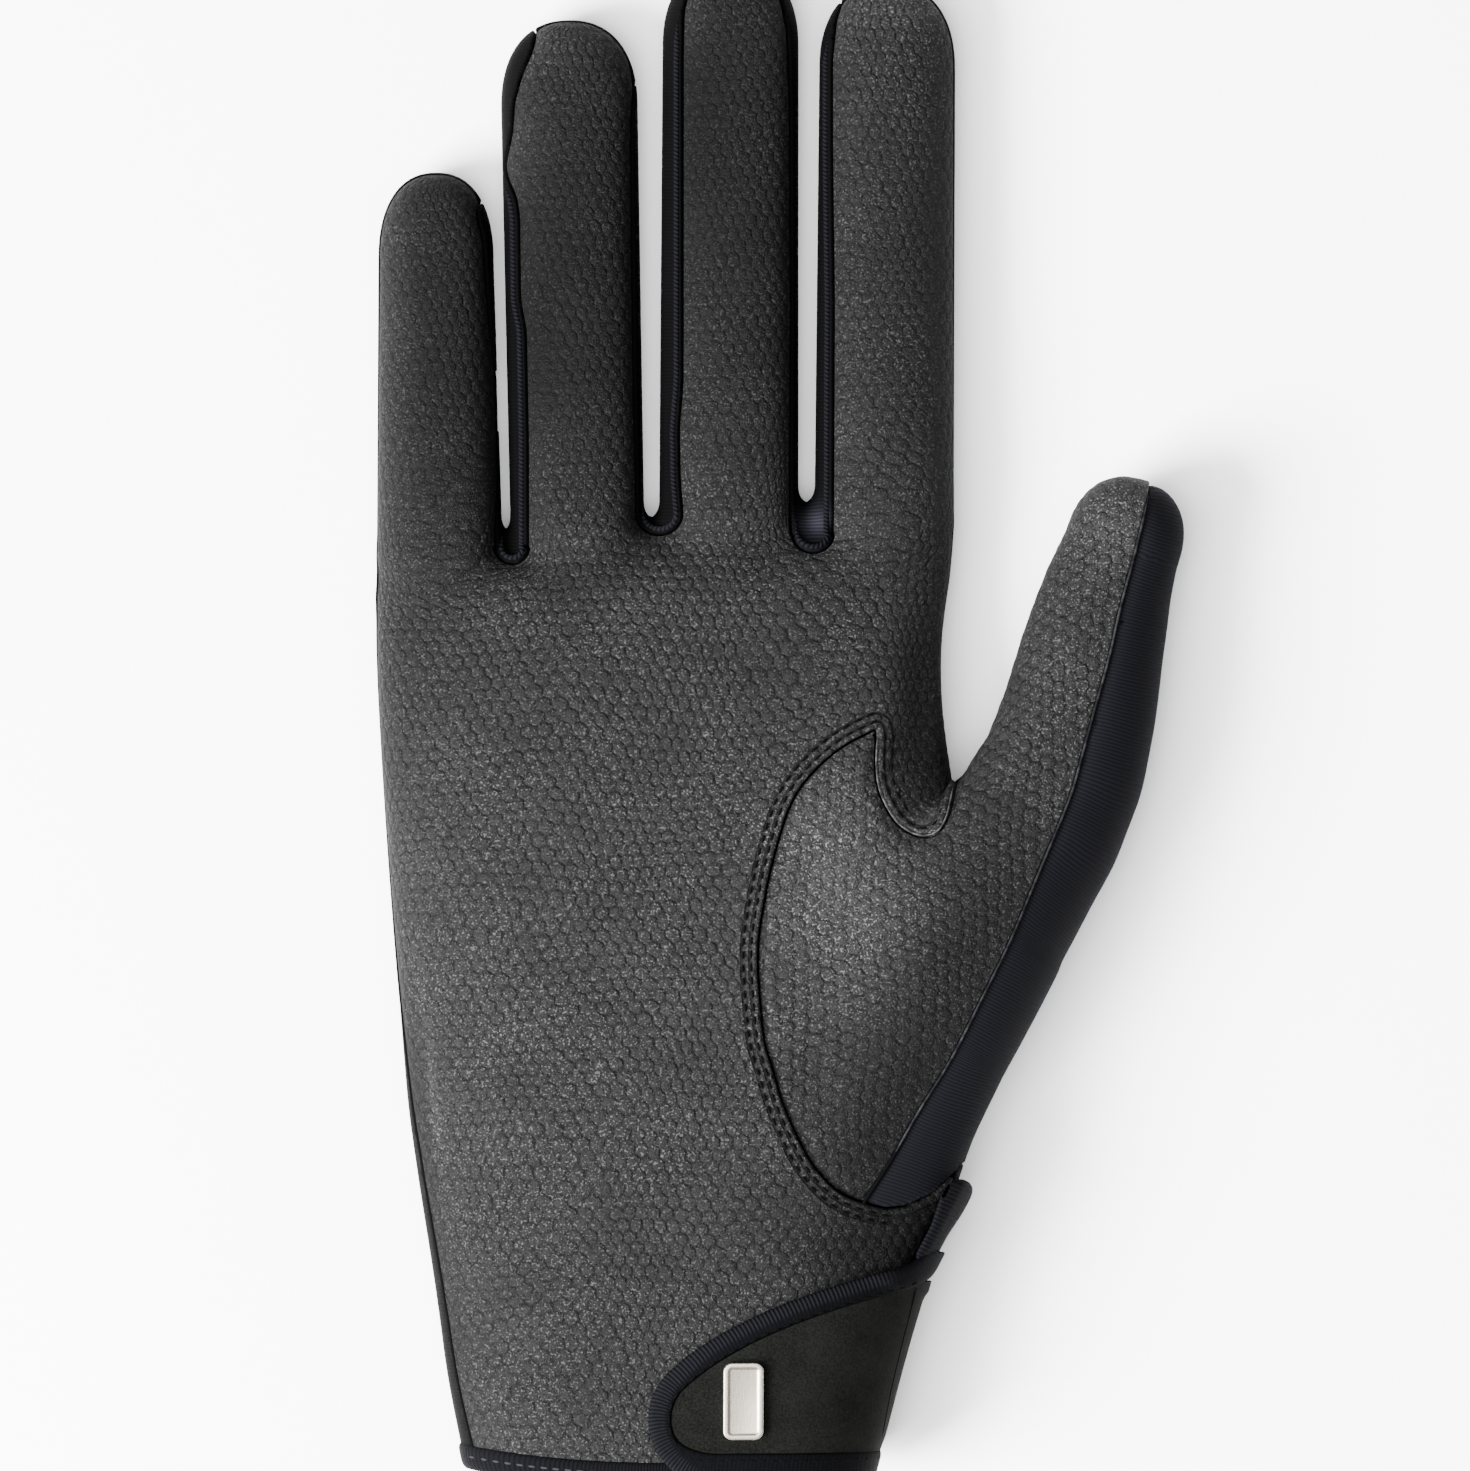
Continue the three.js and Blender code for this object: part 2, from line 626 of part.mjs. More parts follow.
// The metal badge: a plain plate with rounded corners that lies flat on the strap.
function badgeMesh() {
  const w = badgeWidth / 2;
  const l = badgeLength / 2;
  const r = badgeCorner;
  const shape = new THREE.Shape();
  shape.moveTo(-w + r, -l);
  shape.lineTo(w - r, -l);
  shape.absarc(w - r, -l + r, r, -Math.PI / 2, 0, false);
  shape.lineTo(w, l - r);
  shape.absarc(w - r, l - r, r, 0, Math.PI / 2, false);
  shape.lineTo(-w + r, l);
  shape.absarc(-w + r, l - r, r, Math.PI / 2, Math.PI, false);
  shape.lineTo(-w, -l + r);
  shape.absarc(-w + r, -l + r, r, Math.PI, 1.5 * Math.PI, false);
  const geometry = new THREE.ExtrudeGeometry(shape, {
    depth: badgeThickness,
    bevelEnabled: false,
    steps: 1,
    curveSegments: 3,
  });
  const mesh = new THREE.Mesh(geometry, metal);
  const x = across(palmSections[4].right) - strapReach + strapEndRadius + 1.5 * w;
  const y = seamGap + strapEndRadius + 1.5 * badgeCorner;
  const top = strapBase + strapThickness;
  const slopeX = (wristTop(x + w, y, top) - wristTop(x - w, y, top)) / badgeWidth;
  const slopeY = (wristTop(x, y + l, top) - wristTop(x, y - l, top)) / badgeLength;
  mesh.quaternion.setFromUnitVectors(new THREE.Vector3(0, 0, 1), new THREE.Vector3(-slopeX, -slopeY, 1).normalize());
  mesh.position.set(x, y, wristTop(x, y, top) + seamGap);
  return mesh;
}

// The pull tab: a folded end of tape with a round tip, lying on the side of the wrist above the strap.
function pullTab() {
  const angle = THREE.MathUtils.degToRad(54);
  const tip = new THREE.Vector2(across(palmSections[6].right) + tabWidth, along(palmSections[6].along) + seamGap);
  const direction = new THREE.Vector2(Math.cos(angle), Math.sin(angle));
  const half = tabWidth / 2;
  const foot = tip.clone().addScaledVector(direction, -tabLength);
  const outline = [];
  const steps = 10;
  for (let i = 0; i <= steps; i++) {
    const turn = angle - Math.PI / 2 + (i / steps) * Math.PI;
    outline.push(new THREE.Vector2(tip.x - direction.x * half + half * Math.cos(turn), tip.y - direction.y * half + half * Math.sin(turn)));
  }
  outline.push(new THREE.Vector2(foot.x - direction.y * half, foot.y + direction.x * half));
  outline.push(new THREE.Vector2(foot.x + direction.y * half, foot.y - direction.x * half));
  const strap = block(strapOutline(-seamGap));
  return layerOver(wristBody, seamGap, seamGap + tabThickness)
    .intersect(block(outline, up(0.42), farAway))
    .subtract(strap);
}

// Materials
const gripCloth = new THREE.MeshStandardMaterial({ color: '#3d3d3d', roughness: 0.72, metalness: 0 });
const stretchCloth = new THREE.MeshStandardMaterial({ color: '#1c1c21', roughness: 0.85, metalness: 0 });
const strapSuede = new THREE.MeshStandardMaterial({ color: '#262725', roughness: 0.9, metalness: 0 });
const elasticTape = new THREE.MeshStandardMaterial({ color: '#1d1d24', roughness: 0.8, metalness: 0 });
const hookTape = new THREE.MeshStandardMaterial({ color: '#141416', roughness: 0.95, metalness: 0 });
const metal = new THREE.MeshStandardMaterial({ color: '#d8d6d2', roughness: 0.28, metalness: 1 });

const materialOf = {
  palm_panel: gripCloth,
  thumb_palm: gripCloth,
  thumb_side: stretchCloth,
  back_panel: stretchCloth,
  cuff_binding: elasticTape,
  strap_binding: elasticTape,
  pull_tab: elasticTape,
  closure_strap: strapSuede,
  hook_loop_patch: hookTape,
};

const glove = new THREE.Group();
const solids = {
  ...cutPanels(),
  cuff_binding: cuffBinding(),
  ...strapPieces(),
  hook_loop_patch: fastenerPatch(),
  pull_tab: pullTab(),
};
for (const [name, solid] of Object.entries(solids)) {
  const mesh = new THREE.Mesh(geometryOf(solid), materialOf[name] ?? stretchCloth);
  mesh.name = name;
  glove.add(mesh);
}
const badge = badgeMesh();
badge.name = 'badge';
glove.add(badge);

// The origin is under the middle of the glove, on the surface that it lies on.
const bounds = new THREE.Box3().setFromObject(glove);
const middle = bounds.getCenter(new THREE.Vector3());
glove.position.set(-middle.x, -middle.y, -bounds.min.z);

const part = new THREE.Group();
part.add(glove);
export default part;
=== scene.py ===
"""A right-hand riding glove, palm up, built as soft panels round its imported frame.

Lengths inside the modelling code are millimetres of the hand's own frame: X runs across the hand to the
thumb side, Y from the cuff edge to the fingertips and Z up from the surface that the glove lies on. Only
Placing turns them into the metres of the frame.
"""

import json
import logging
import math
from dataclasses import dataclass, field
from enum import Enum
from typing import Callable, Sequence

import bpy
import numpy as np
from mathutils import Matrix, Vector

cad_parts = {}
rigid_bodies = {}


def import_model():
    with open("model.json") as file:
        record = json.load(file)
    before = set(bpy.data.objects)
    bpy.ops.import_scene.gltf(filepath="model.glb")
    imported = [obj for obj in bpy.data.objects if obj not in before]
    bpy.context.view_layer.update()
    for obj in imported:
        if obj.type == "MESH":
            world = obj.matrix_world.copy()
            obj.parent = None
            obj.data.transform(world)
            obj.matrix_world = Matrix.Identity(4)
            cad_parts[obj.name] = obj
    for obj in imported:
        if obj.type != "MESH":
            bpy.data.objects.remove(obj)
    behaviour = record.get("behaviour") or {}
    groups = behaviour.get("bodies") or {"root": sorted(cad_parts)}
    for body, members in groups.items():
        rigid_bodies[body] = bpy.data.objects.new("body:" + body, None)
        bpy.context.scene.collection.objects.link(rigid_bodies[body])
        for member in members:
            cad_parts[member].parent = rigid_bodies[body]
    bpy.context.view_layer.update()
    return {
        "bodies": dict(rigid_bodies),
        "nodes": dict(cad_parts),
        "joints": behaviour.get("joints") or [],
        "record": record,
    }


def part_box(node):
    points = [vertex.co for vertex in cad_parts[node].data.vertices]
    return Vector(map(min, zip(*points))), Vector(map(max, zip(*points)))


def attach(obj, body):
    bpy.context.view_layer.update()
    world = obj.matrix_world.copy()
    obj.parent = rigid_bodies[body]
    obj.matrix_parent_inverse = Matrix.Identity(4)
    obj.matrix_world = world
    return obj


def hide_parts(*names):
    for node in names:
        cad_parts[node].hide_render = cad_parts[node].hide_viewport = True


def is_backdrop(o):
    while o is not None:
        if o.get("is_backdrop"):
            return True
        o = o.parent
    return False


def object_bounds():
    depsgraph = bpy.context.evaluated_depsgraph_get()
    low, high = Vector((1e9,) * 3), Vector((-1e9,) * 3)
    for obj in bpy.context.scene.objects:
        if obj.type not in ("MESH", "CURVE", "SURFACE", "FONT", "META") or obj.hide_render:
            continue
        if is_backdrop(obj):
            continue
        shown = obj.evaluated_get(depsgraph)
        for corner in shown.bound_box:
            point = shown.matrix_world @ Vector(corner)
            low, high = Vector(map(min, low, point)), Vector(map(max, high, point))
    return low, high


LOG = logging.getLogger("glove")

FRAME: dict = {}

Array = np.ndarray
Colour = tuple[float, float, float, float]

# The photograph is 1470 by 1471 pixels and shows 0.16 mm in each.
PIXEL = 0.16
CENTRE_PIXEL_X = 660.0
CUFF_PIXEL_Y = 1484.0


def hand_point(pixel_x: float, pixel_y: float) -> tuple[float, float]:
    """Turns a place in the photograph into hand millimetres."""
    return (pixel_x - CENTRE_PIXEL_X) * PIXEL, (CUFF_PIXEL_Y - pixel_y) * PIXEL


def hand_line(pixels: Sequence[tuple[float, float]]) -> Array:
    """Turns a line of photograph places into hand millimetres."""
    return np.array([hand_point(x, y) for x, y in pixels])


# Numbers and curves


def smooth_min(a: Array, b: Array, blend: float) -> Array:
    """The smaller of two distances, with a rounded transition."""
    near = np.maximum(blend - np.abs(a - b), 0.0) / blend
    return np.minimum(a, b) - near * near * (blend * 0.25)


def smooth_max(a: Array, b: Array, blend: float) -> Array:
    """The larger of two distances, with a rounded transition."""
    return -smooth_min(-a, -b, blend)


def ramp(value: Array, low: float, high: float) -> Array:
    """A smooth step from 0 at low to 1 at high."""
    share = np.clip((value - low) / (high - low), 0.0, 1.0)
    return share * share * (3.0 - 2.0 * share)


def hump(value: Array, width: float) -> Array:
    """A bell curve of height 1."""
    return np.exp(-((value / width) ** 2))


def turned_bell(dx: Array, dy: Array, reach_x: float, reach_y: float, turn: float) -> Array:
    """A bell of height 1 that is longer one way than the other.

    Args:
        dx: Distance from its middle across.
        dy: Distance from its middle along.
        reach_x: Its reach along its own line.
        reach_y: Its reach beside that line.
        turn: Direction of its line in degrees.

    Returns:
        The bell's values.
    """
    angle = math.radians(turn)
    along = dx * math.cos(angle) + dy * math.sin(angle)
    off = dy * math.cos(angle) - dx * math.sin(angle)
    return np.exp(-((along / reach_x) ** 2) - (off / reach_y) ** 2)


class Curve:
    """A table of numbers along one line, read as a smooth curve."""

    def __init__(
        self, places: Sequence[float], values: Sequence[float], soften: float, step: float = 0.5
    ) -> None:
        """Lays out the table finely and rounds its corners.

        Args:
            places: Where the values are known, rising.
            values: The values there.
            soften: How far the corners are rounded, in the units of places.
            step: Fineness of the finished table.
        """
        reach = 3.0 * soften + step
        self.places = np.arange(places[0] - reach, places[-1] + reach, step)
        straight = np.interp(self.places, places, values)
        if soften > 0.0:
            count = int(math.ceil(2.5 * soften / step))
            offsets = np.arange(-count, count + 1) * step
            weights = np.exp(-0.5 * (offsets / soften) ** 2)
            weights /= weights.sum()
            padded = np.pad(straight, count, mode="edge")
            straight = np.convolve(padded, weights, mode="valid")
        self.values = straight

    def __call__(self, place: Array) -> Array:
        """Reads the curve."""
        return np.interp(place, self.places, self.values)


def fine_line(points: Array, step: float, closed: bool = False) -> Array:
    """Runs a smooth line through points and samples it evenly.

    Args:
        points: The points that it passes through.
        step: Distance between the samples.
        closed: Whether the line returns to its first point.

    Returns:
        The samples, without the first repeated at the end of a closed line.
    """
    if closed:
        chain = np.vstack([points[-1:], points, points[:2]])
    else:
        chain = np.vstack([2 * points[0] - points[1], points, 2 * points[-1] - points[-2]])
    pieces = []
    for row in range(1, len(chain) - 2):
        before, start, end, after = chain[row - 1 : row + 3]
        t = np.linspace(0.0, 1.0, 12, endpoint=False)[:, None]
        pieces.append(
            0.5
            * (
                2 * start
                + (end - before) * t
                + (2 * before - 5 * start + 4 * end - after) * t**2
                + (3 * start - before - 3 * end + after) * t**3
            )
        )
    dense = np.vstack([*pieces, chain[-2][None, :]])
    lengths = np.concatenate([[0.0], np.cumsum(np.linalg.norm(np.diff(dense, axis=0), axis=1))])
    count = max(2, int(round(lengths[-1] / step)) + 1)
    marks = np.linspace(0.0, lengths[-1], count)
    line = np.stack([np.interp(marks, lengths, dense[:, axis]) for axis in range(dense.shape[1])], axis=1)
    return line[:-1] if closed else line


def line_distance(x: Array, y: Array, line: Array, closed: bool = False) -> tuple[Array, Array, Array]:
    """Finds the nearest place on a line in the XY plane.

    Args:
        x: Places across, as one row.
        y: Places along, as one row.
        line: The line's points.
        closed: Whether the last point joins the first.

    Returns:
        The distance, the side (positive to the left of the line's direction) and the length along it.
    """
    ends = np.vstack([line, line[:1]]) if closed else line
    starts, steps = ends[:-1], np.diff(ends, axis=0)
    lengths = np.linalg.norm(steps, axis=1)
    before = np.concatenate([[0.0], np.cumsum(lengths)])
    best = np.full(x.shape, 1e9)
    side = np.zeros(x.shape)
    along = np.zeros(x.shape)
    for row, (start, step) in enumerate(zip(starts, steps)):
        dx, dy = x - start[0], y - start[1]
        share = np.clip((dx * step[0] + dy * step[1]) / (lengths[row] ** 2), 0.0, 1.0)
        off_x, off_y = dx - share * step[0], dy - share * step[1]
        distance = np.hypot(off_x, off_y)
        closer = distance < best
        best = np.where(closer, distance, best)
        side = np.where(closer, step[0] * dy - step[1] * dx, side)
        along = np.where(closer, before[row] + share * lengths[row], along)
    return best, np.sign(side), along


def inside_polygon(x: Array, y: Array, polygon: Array) -> Array:
    """Tells which places lie inside a polygon.

    Args:
        x: Places across.
        y: Places along.
        polygon: Its corners in order.

    Returns:
        True for each place inside.
    """
    inside = np.zeros(x.shape, dtype=bool)
    following = np.roll(polygon, -1, axis=0)
    for (x0, y0), (x1, y1) in zip(polygon, following):
        if y0 == y1:
            continue
        crosses = (y0 > y) != (y1 > y)
        inside ^= crosses & (x < (x1 - x0) * (y - y0) / (y1 - y0) + x0)
    return inside


def wavy(x: Array, y: Array, size: float, seed: int) -> Array:
    """Smooth seeded noise made of a few crossing waves.

    Args:
        x: Places across.
        y: Places along.
        size: Typical distance between two crests.
        seed: Which noise it is.

    Returns:
        Values that mostly lie between -1 and 1.
    """
    rng = np.random.default_rng(seed)
    total = np.zeros(np.broadcast(x, y).shape)
    for _ in range(7):
        angle = rng.uniform(0.0, 2.0 * math.pi)
        turns = 2.0 * math.pi / (size * rng.uniform(0.75, 1.5))
        phase = rng.uniform(0.0, 2.0 * math.pi)
        total += np.sin((x * math.cos(angle) + y * math.sin(angle)) * turns + phase)
    return total / 4.0


# The form of the filled hand, as a distance to its surface that is negative inside


def norm_distance(across: Array, up: Array, half_width: Array, half_depth: Array, power: float) -> Array:
    """Distance to a superellipse section.

    Args:
        across: Distance from its centre across.
        up: Distance from its centre upwards.
        half_width: Half its width.
        half_depth: Half its depth.
        power: Its exponent, where 2 is an ellipse.

    Returns:
        The distance, to first order.
    """
    u = np.maximum(np.abs(across) / half_width, 1e-4)
    v = np.maximum(np.abs(up) / half_depth, 1e-4)
    norm = (u**power + v**power) ** (1.0 / power)
    slope = norm ** (1.0 - power) * np.hypot(u ** (power - 1.0) / half_width, v ** (power - 1.0) / half_depth)
    return (norm - 1.0) / slope


def capped_distance(
    across: Array, up: Array, beyond: Array, half_width: Array, half_depth: Array, power: float, end: float
) -> Array:
    """Distance to a rounded finger whose section is a superellipse and whose end closes as another.

    Args:
        across: Distance from its centre line across.
        up: Distance from its centre line upwards.
        beyond: Length past the start of its rounded end.
        half_width: Half its width.
        half_depth: Half its depth.
        power: The section's exponent.
        end: Length of the rounded end.

    Returns:
        The distance, to first order.
    """
    cap_power = 2.3
    u = np.maximum(np.abs(across) / half_width, 1e-4)
    v = np.maximum(np.abs(up) / half_depth, 1e-4)
    t = np.maximum(beyond / end, 0.0)
    flat = (u**power + v**power) ** (1.0 / power)
    norm = (flat**cap_power + t**cap_power) ** (1.0 / cap_power)
    by_flat = (norm ** (1.0 - cap_power)) * flat ** (cap_power - 1.0)
    rise_u, rise_v = u ** (power - 1.0) / half_width, v ** (power - 1.0) / half_depth
    by_side = flat ** (1.0 - power) * np.hypot(rise_u, rise_v)
    by_end = (norm ** (1.0 - cap_power)) * t ** (cap_power - 1.0) / end
    return (norm - 1.0) / np.hypot(by_flat * by_side, by_end)


PALM_LENGTH = 154.5
PALM_WIDTH = 91.0
PALM_DEPTH = 33.0
MIDDLE_LENGTH = 89.5
FINGER_WIDTH = 22.0
FINGER_DEPTH = 17.5
FINGER_END = 14.0
THUMB_WIDTH = 25.0
THUMB_DEPTH = 23.0
THUMB_END = 11.0
WALL = 1.2
REST_FLAT = 1.6
CUFF_HEIGHT = 4.0
CUFF_BOW = 2.6
CUFF_HALF_WIDTH = 0.342 * PALM_WIDTH
CUFF_LAP = 1.2  # how far the panels reach in under the cuff's binding
WEB_SLOPE = 0.1
SEAM_GAP = 0.3
TAPE_POWER = 3.2  # exponent of a tape's section


def cuff_bow(x: Array) -> Array:
    """How far the cuff's edge bows up the hand."""
    return CUFF_BOW * (x / CUFF_HALF_WIDTH) ** 2


def tape_norm(across: Array, up: Array) -> Array:
    """The size of a place in a tape's rounded section, 1 on its surface."""
    return (np.maximum(across, 1e-4) ** TAPE_POWER + np.maximum(up, 1e-4) ** TAPE_POWER) ** (1 / TAPE_POWER)


class PalmForm:
    """The hand from the cuff to the webs of the fingers."""

    # Shares of the palm's length, of its width to the left and right, and of its depth
    SECTIONS = (
        (-0.05, -0.325, 0.330, 0.90),
        (0.0, -0.335, 0.342, 0.90),
        (0.055, -0.355, 0.368, 0.92),
        (0.115, -0.375, 0.394, 0.94),
        (0.18, -0.389, 0.425, 0.96),
        (0.24, -0.404, 0.46, 0.98),
        (0.305, -0.422, 0.52, 1.0),
        (0.39, -0.443, 0.526, 1.0),
        (0.52, -0.461, 0.515, 0.97),
        (0.65, -0.477, 0.511, 0.9),
        (0.765, -0.49, 0.503, 0.8),
        (0.845, -0.496, 0.498, 0.7),
        (0.92, -0.499, 0.501, 0.59),
        (0.965, -0.495, 0.502, 0.49),
        (1.0, -0.47, 0.48, 0.24),
    )
    ROUNDNESS = 2.5

    def __init__(self) -> None:
        """Lays out the section tables."""
        rows = np.array(self.SECTIONS)
        places = rows[:, 0] * PALM_LENGTH
        self.left = Curve(places, rows[:, 1] * PALM_WIDTH, 3.0)
        self.right = Curve(places, rows[:, 2] * PALM_WIDTH, 3.0)
        self.depth = Curve(places, rows[:, 3] * PALM_DEPTH, 3.0)

    @staticmethod
    def straighten(x: Array, y: Array) -> Array:
        """Takes the slope of the webs out of a place along the hand.

        Args:
            x: Places across.
            y: Places along.

        Returns:
            The place along, as the section table has it.
        """
        straight = y
        for _ in range(2):
            straight = y - WEB_SLOPE * x * ramp(straight / PALM_LENGTH, 0.5, 1.0)
        return straight

    def distance(self, x: Array, y: Array, z: Array) -> Array:
        """Distance to the palm's surface.

        Args:
            x: Places across.
            y: Places along.
            z: Heights.

        Returns:
            The distance, negative inside.
        """
        row = self.straighten(x, y)
        left, right, depth = self.left(row), self.right(row), self.depth(row)
        side = norm_distance(
            x - (left + right) / 2,
            z - (depth - REST_FLAT) / 2,
            (right - left) / 2,
            (depth + REST_FLAT) / 2,
            self.ROUNDNESS,
        )
        return smooth_max(side, row - PALM_LENGTH, 2.0)


@dataclass(frozen=True)
class FingerForm:
    """One finger, from inside the palm to its tip. Places across are shares of the palm's width."""

    name: str
    root: float
    tip: float
    length: float
    root_width: float
    tip_width: float

    @property
    def tip_y(self) -> float:
        """Where the finger ends along the hand."""
        return PALM_LENGTH + MIDDLE_LENGTH * self.length

    @property
    def start_y(self) -> float:
        """Where the finger starts inside the palm."""
        return PALM_LENGTH * 0.88

    def centre(self, y: Array) -> Array:
        """The finger's centre line."""
        share = np.clip((y - self.start_y) / (self.tip_y - FINGER_END - self.start_y), 0.0, 1.0)
        return PALM_WIDTH * (self.root + (self.tip - self.root) * share)

    def half_width(self, y: Array) -> Array:
        """Half the finger's width.

        Args:
            y: Places along the hand.

        Returns:
            Half the width there.
        """
        share = np.clip((y - self.start_y) / (self.tip_y - FINGER_END - self.start_y), 0.0, 1.0)
        size = np.interp(share, (0.0, 0.1, 0.2), (0.72, 0.9, 1.0))
        return size * FINGER_WIDTH / 2 * (self.root_width + (self.tip_width - self.root_width) * share)

    def distance(self, x: Array, y: Array, z: Array) -> Array:
        """Distance to the finger's surface.

        Args:
            x: Places across.
            y: Places along.
            z: Heights.

        Returns:
            The distance, negative inside.
        """
        end_y = self.tip_y - FINGER_END
        share = np.clip((y - self.start_y) / (end_y - self.start_y), 0.0, 1.0)
        size = np.interp(share, (0.0, 0.1, 0.2), (0.72, 0.9, 1.0))
        depth = size * FINGER_DEPTH * (1.0 - 0.16 * share)
        body = capped_distance(
            x - self.centre(y),
            z - (depth - REST_FLAT) / 2,
            y - end_y,
            self.half_width(y),
            (depth + REST_FLAT) / 2,
            2.25,
            FINGER_END,
        )
        return np.maximum(body, self.start_y - y)


FINGERS = (
    FingerForm("little", -0.386, -0.395, 0.62, 0.94, 0.84),
    FingerForm("ring", -0.142, -0.16, 0.893, 0.97, 0.995),
    FingerForm("middle", 0.12, 0.124, 1.0, 1.02, 0.99),
    FingerForm("index", 0.393, 0.4, 0.96, 1.02, 0.99),
)


class ThumbForm:
    """The thumb and its ball, round one bent axis that lies level."""

    # Shares of the palm's width, length and depth, then of the thumb's width and depth
    STATIONS = (
        (0.3, 0.26, 0.46, 1.06, 1.06),
        (0.365, 0.37, 0.48, 1.34, 1.38),
        (0.432, 0.475, 0.49, 1.44, 1.46),
        (0.548, 0.597, 0.47, 1.36, 1.32),
        (0.66, 0.682, 0.42, 1.13, 1.16),
        (0.709, 0.739, 0.39, 1.05, 1.05),
        (0.738, 0.8, 0.37, 0.985, 0.99),
        (0.76, 0.862, 0.35, 0.92, 0.94),
        (0.787, 0.925, 0.335, 0.83, 0.87),
        (0.814, 0.972, 0.33, 0.735, 0.8),
    )
    ROUNDNESS = 2.2
    CELL = 0.8  # fineness of the map of nearest axis places

    def __init__(self) -> None:
        """Lays out the axis and the map that finds the nearest place on it."""
        rows = np.array(self.STATIONS)
        places = rows[:, :2] * (PALM_WIDTH, PALM_LENGTH)
        marks = np.concatenate([[0.0], np.cumsum(np.linalg.norm(np.diff(places, axis=0), axis=1))])
        self.length = float(marks[-1])
        self.marks = np.arange(0.0, self.length, 0.5)
        self.x = Curve(marks, places[:, 0], 1.6)(self.marks)
        self.y = Curve(marks, places[:, 1], 1.6)(self.marks)
        self.x[-1], self.y[-1] = places[-1]
        self.z = Curve(marks, rows[:, 2] * PALM_DEPTH, 3.0)
        self.half_width = Curve(marks, rows[:, 3] * THUMB_WIDTH / 2, 3.0)
        self.half_depth = Curve(marks, rows[:, 4] * THUMB_DEPTH / 2, 3.0)
        self.turn_x = np.gradient(self.x)
        self.turn_y = np.gradient(self.y)
        size = np.hypot(self.turn_x, self.turn_y)
        self.turn_x, self.turn_y = self.turn_x / size, self.turn_y / size
        self._make_map()

    def _make_map(self) -> None:
        """Finds the nearest axis place for a grid of places in the XY plane."""
        self.map_x = np.arange(-20.0, 110.0, self.CELL)
        self.map_y = np.arange(-10.0, 185.0, self.CELL)
        grid_x, grid_y = np.meshgrid(self.map_x, self.map_y, indexing="ij")
        nearest = np.zeros(grid_x.shape)
        for row in range(grid_x.shape[0]):
            dx = grid_x[row][:, None] - self.x[None, :]
            dy = grid_y[row][:, None] - self.y[None, :]
            best = np.argmin(dx * dx + dy * dy, axis=1)
            count = np.arange(len(best))
            along = dx[count, best] * self.turn_x[best] + dy[count, best] * self.turn_y[best]
            nearest[row] = np.clip(self.marks[best] + np.clip(along, -0.3, 0.3), 0.0, self.marks[-1])
        self.map = nearest

    def mark_at(self, x: Array, y: Array) -> Array:
        """Length along the axis of its place nearest to each point.

        Args:
            x: Places across.
            y: Places along.

        Returns:
            The lengths.
        """
        col = np.clip((x - self.map_x[0]) / self.CELL, 0.0, len(self.map_x) - 1.001)
        row = np.clip((y - self.map_y[0]) / self.CELL, 0.0, len(self.map_y) - 1.001)
        i, j = col.astype(int), row.astype(int)
        a, b = col - i, row - j
        low = self.map[i, j] * (1 - a) + self.map[i + 1, j] * a
        high = self.map[i, j + 1] * (1 - a) + self.map[i + 1, j + 1] * a
        return low * (1 - b) + high * b

    def local(self, x: Array, y: Array) -> tuple[Array, Array, Array]:
        """Where a point lies beside the axis.

        Args:
            x: Places across.
            y: Places along.

        Returns:
            The mark of the nearest axis place, the distance to its right and the distance ahead of it.
        """
        x, y = np.broadcast_arrays(x, y)
        mark = self.mark_at(x, y)
        turn_x = np.interp(mark, self.marks, self.turn_x)
        turn_y = np.interp(mark, self.marks, self.turn_y)
        dx = x - np.interp(mark, self.marks, self.x)
        dy = y - np.interp(mark, self.marks, self.y)
        return mark, dx * turn_y - dy * turn_x, dx * turn_x + dy * turn_y

    def distance(self, x: Array, y: Array, z: Array) -> Array:
        """Distance to the thumb's surface.

        Args:
            x: Places across.
            y: Places along.
            z: Heights.

        Returns:
            The distance, negative inside.
        """
        mark, across, ahead = self.local(x, y)
        at_end = mark > self.marks[-1] - 0.6
        body = capped_distance(
            across,
            z - self.z(mark),
            np.where(at_end, ahead, 0.0),
            self.half_width(mark),
            self.half_depth(mark),
            self.ROUNDNESS,
            THUMB_END,
        )
        at_start = mark < 0.3
        return np.where(at_start, np.maximum(body, -ahead), body)


@dataclass(frozen=True)
class Dent:
    """A soft hollow (positive depth) or swelling (negative) of the filled hand."""

    x: float
    y: float
    reach_x: float
    reach_y: float
    depth: float
    turn: float = 0.0

    def value(self, x: Array, y: Array) -> Array:
        """How deep the hollow is."""
        return self.depth * turned_bell(x - self.x, y - self.y, self.reach_x, self.reach_y, self.turn)


def photo_dent(
    pixel_x: float, pixel_y: float, reach_x: float, reach_y: float, depth: float, turn: float = 0.0
) -> Dent:
    """A dent that is placed by the photograph."""
    x, y = hand_point(pixel_x, pixel_y)
    return Dent(x, y, reach_x, reach_y, depth, turn)


DENTS = (
    photo_dent(620, 800, 26.0, 34.0, 0.9),
    photo_dent(922, 705, 14.0, 3.1, 1.5, 88.0),
    photo_dent(930, 803, 5.0, 1.5, 0.6, 20.0),
    photo_dent(922, 818, 3.4, 2.6, -0.5, 20.0),
    photo_dent(935, 930, 20.0, 13.0, -1.8, 60.0),
    photo_dent(912, 1135, 22.0, 8.0, 2.2, 62.0),
    photo_dent(505, 640, 6.0, 12.0, 0.35, 70.0),
    photo_dent(655, 620, 6.0, 12.0, 0.35, 90.0),
    photo_dent(815, 640, 6.0, 12.0, 0.35, 100.0),
    photo_dent(520, 163, 6.0, 1.2, 0.45, 35.0),
)


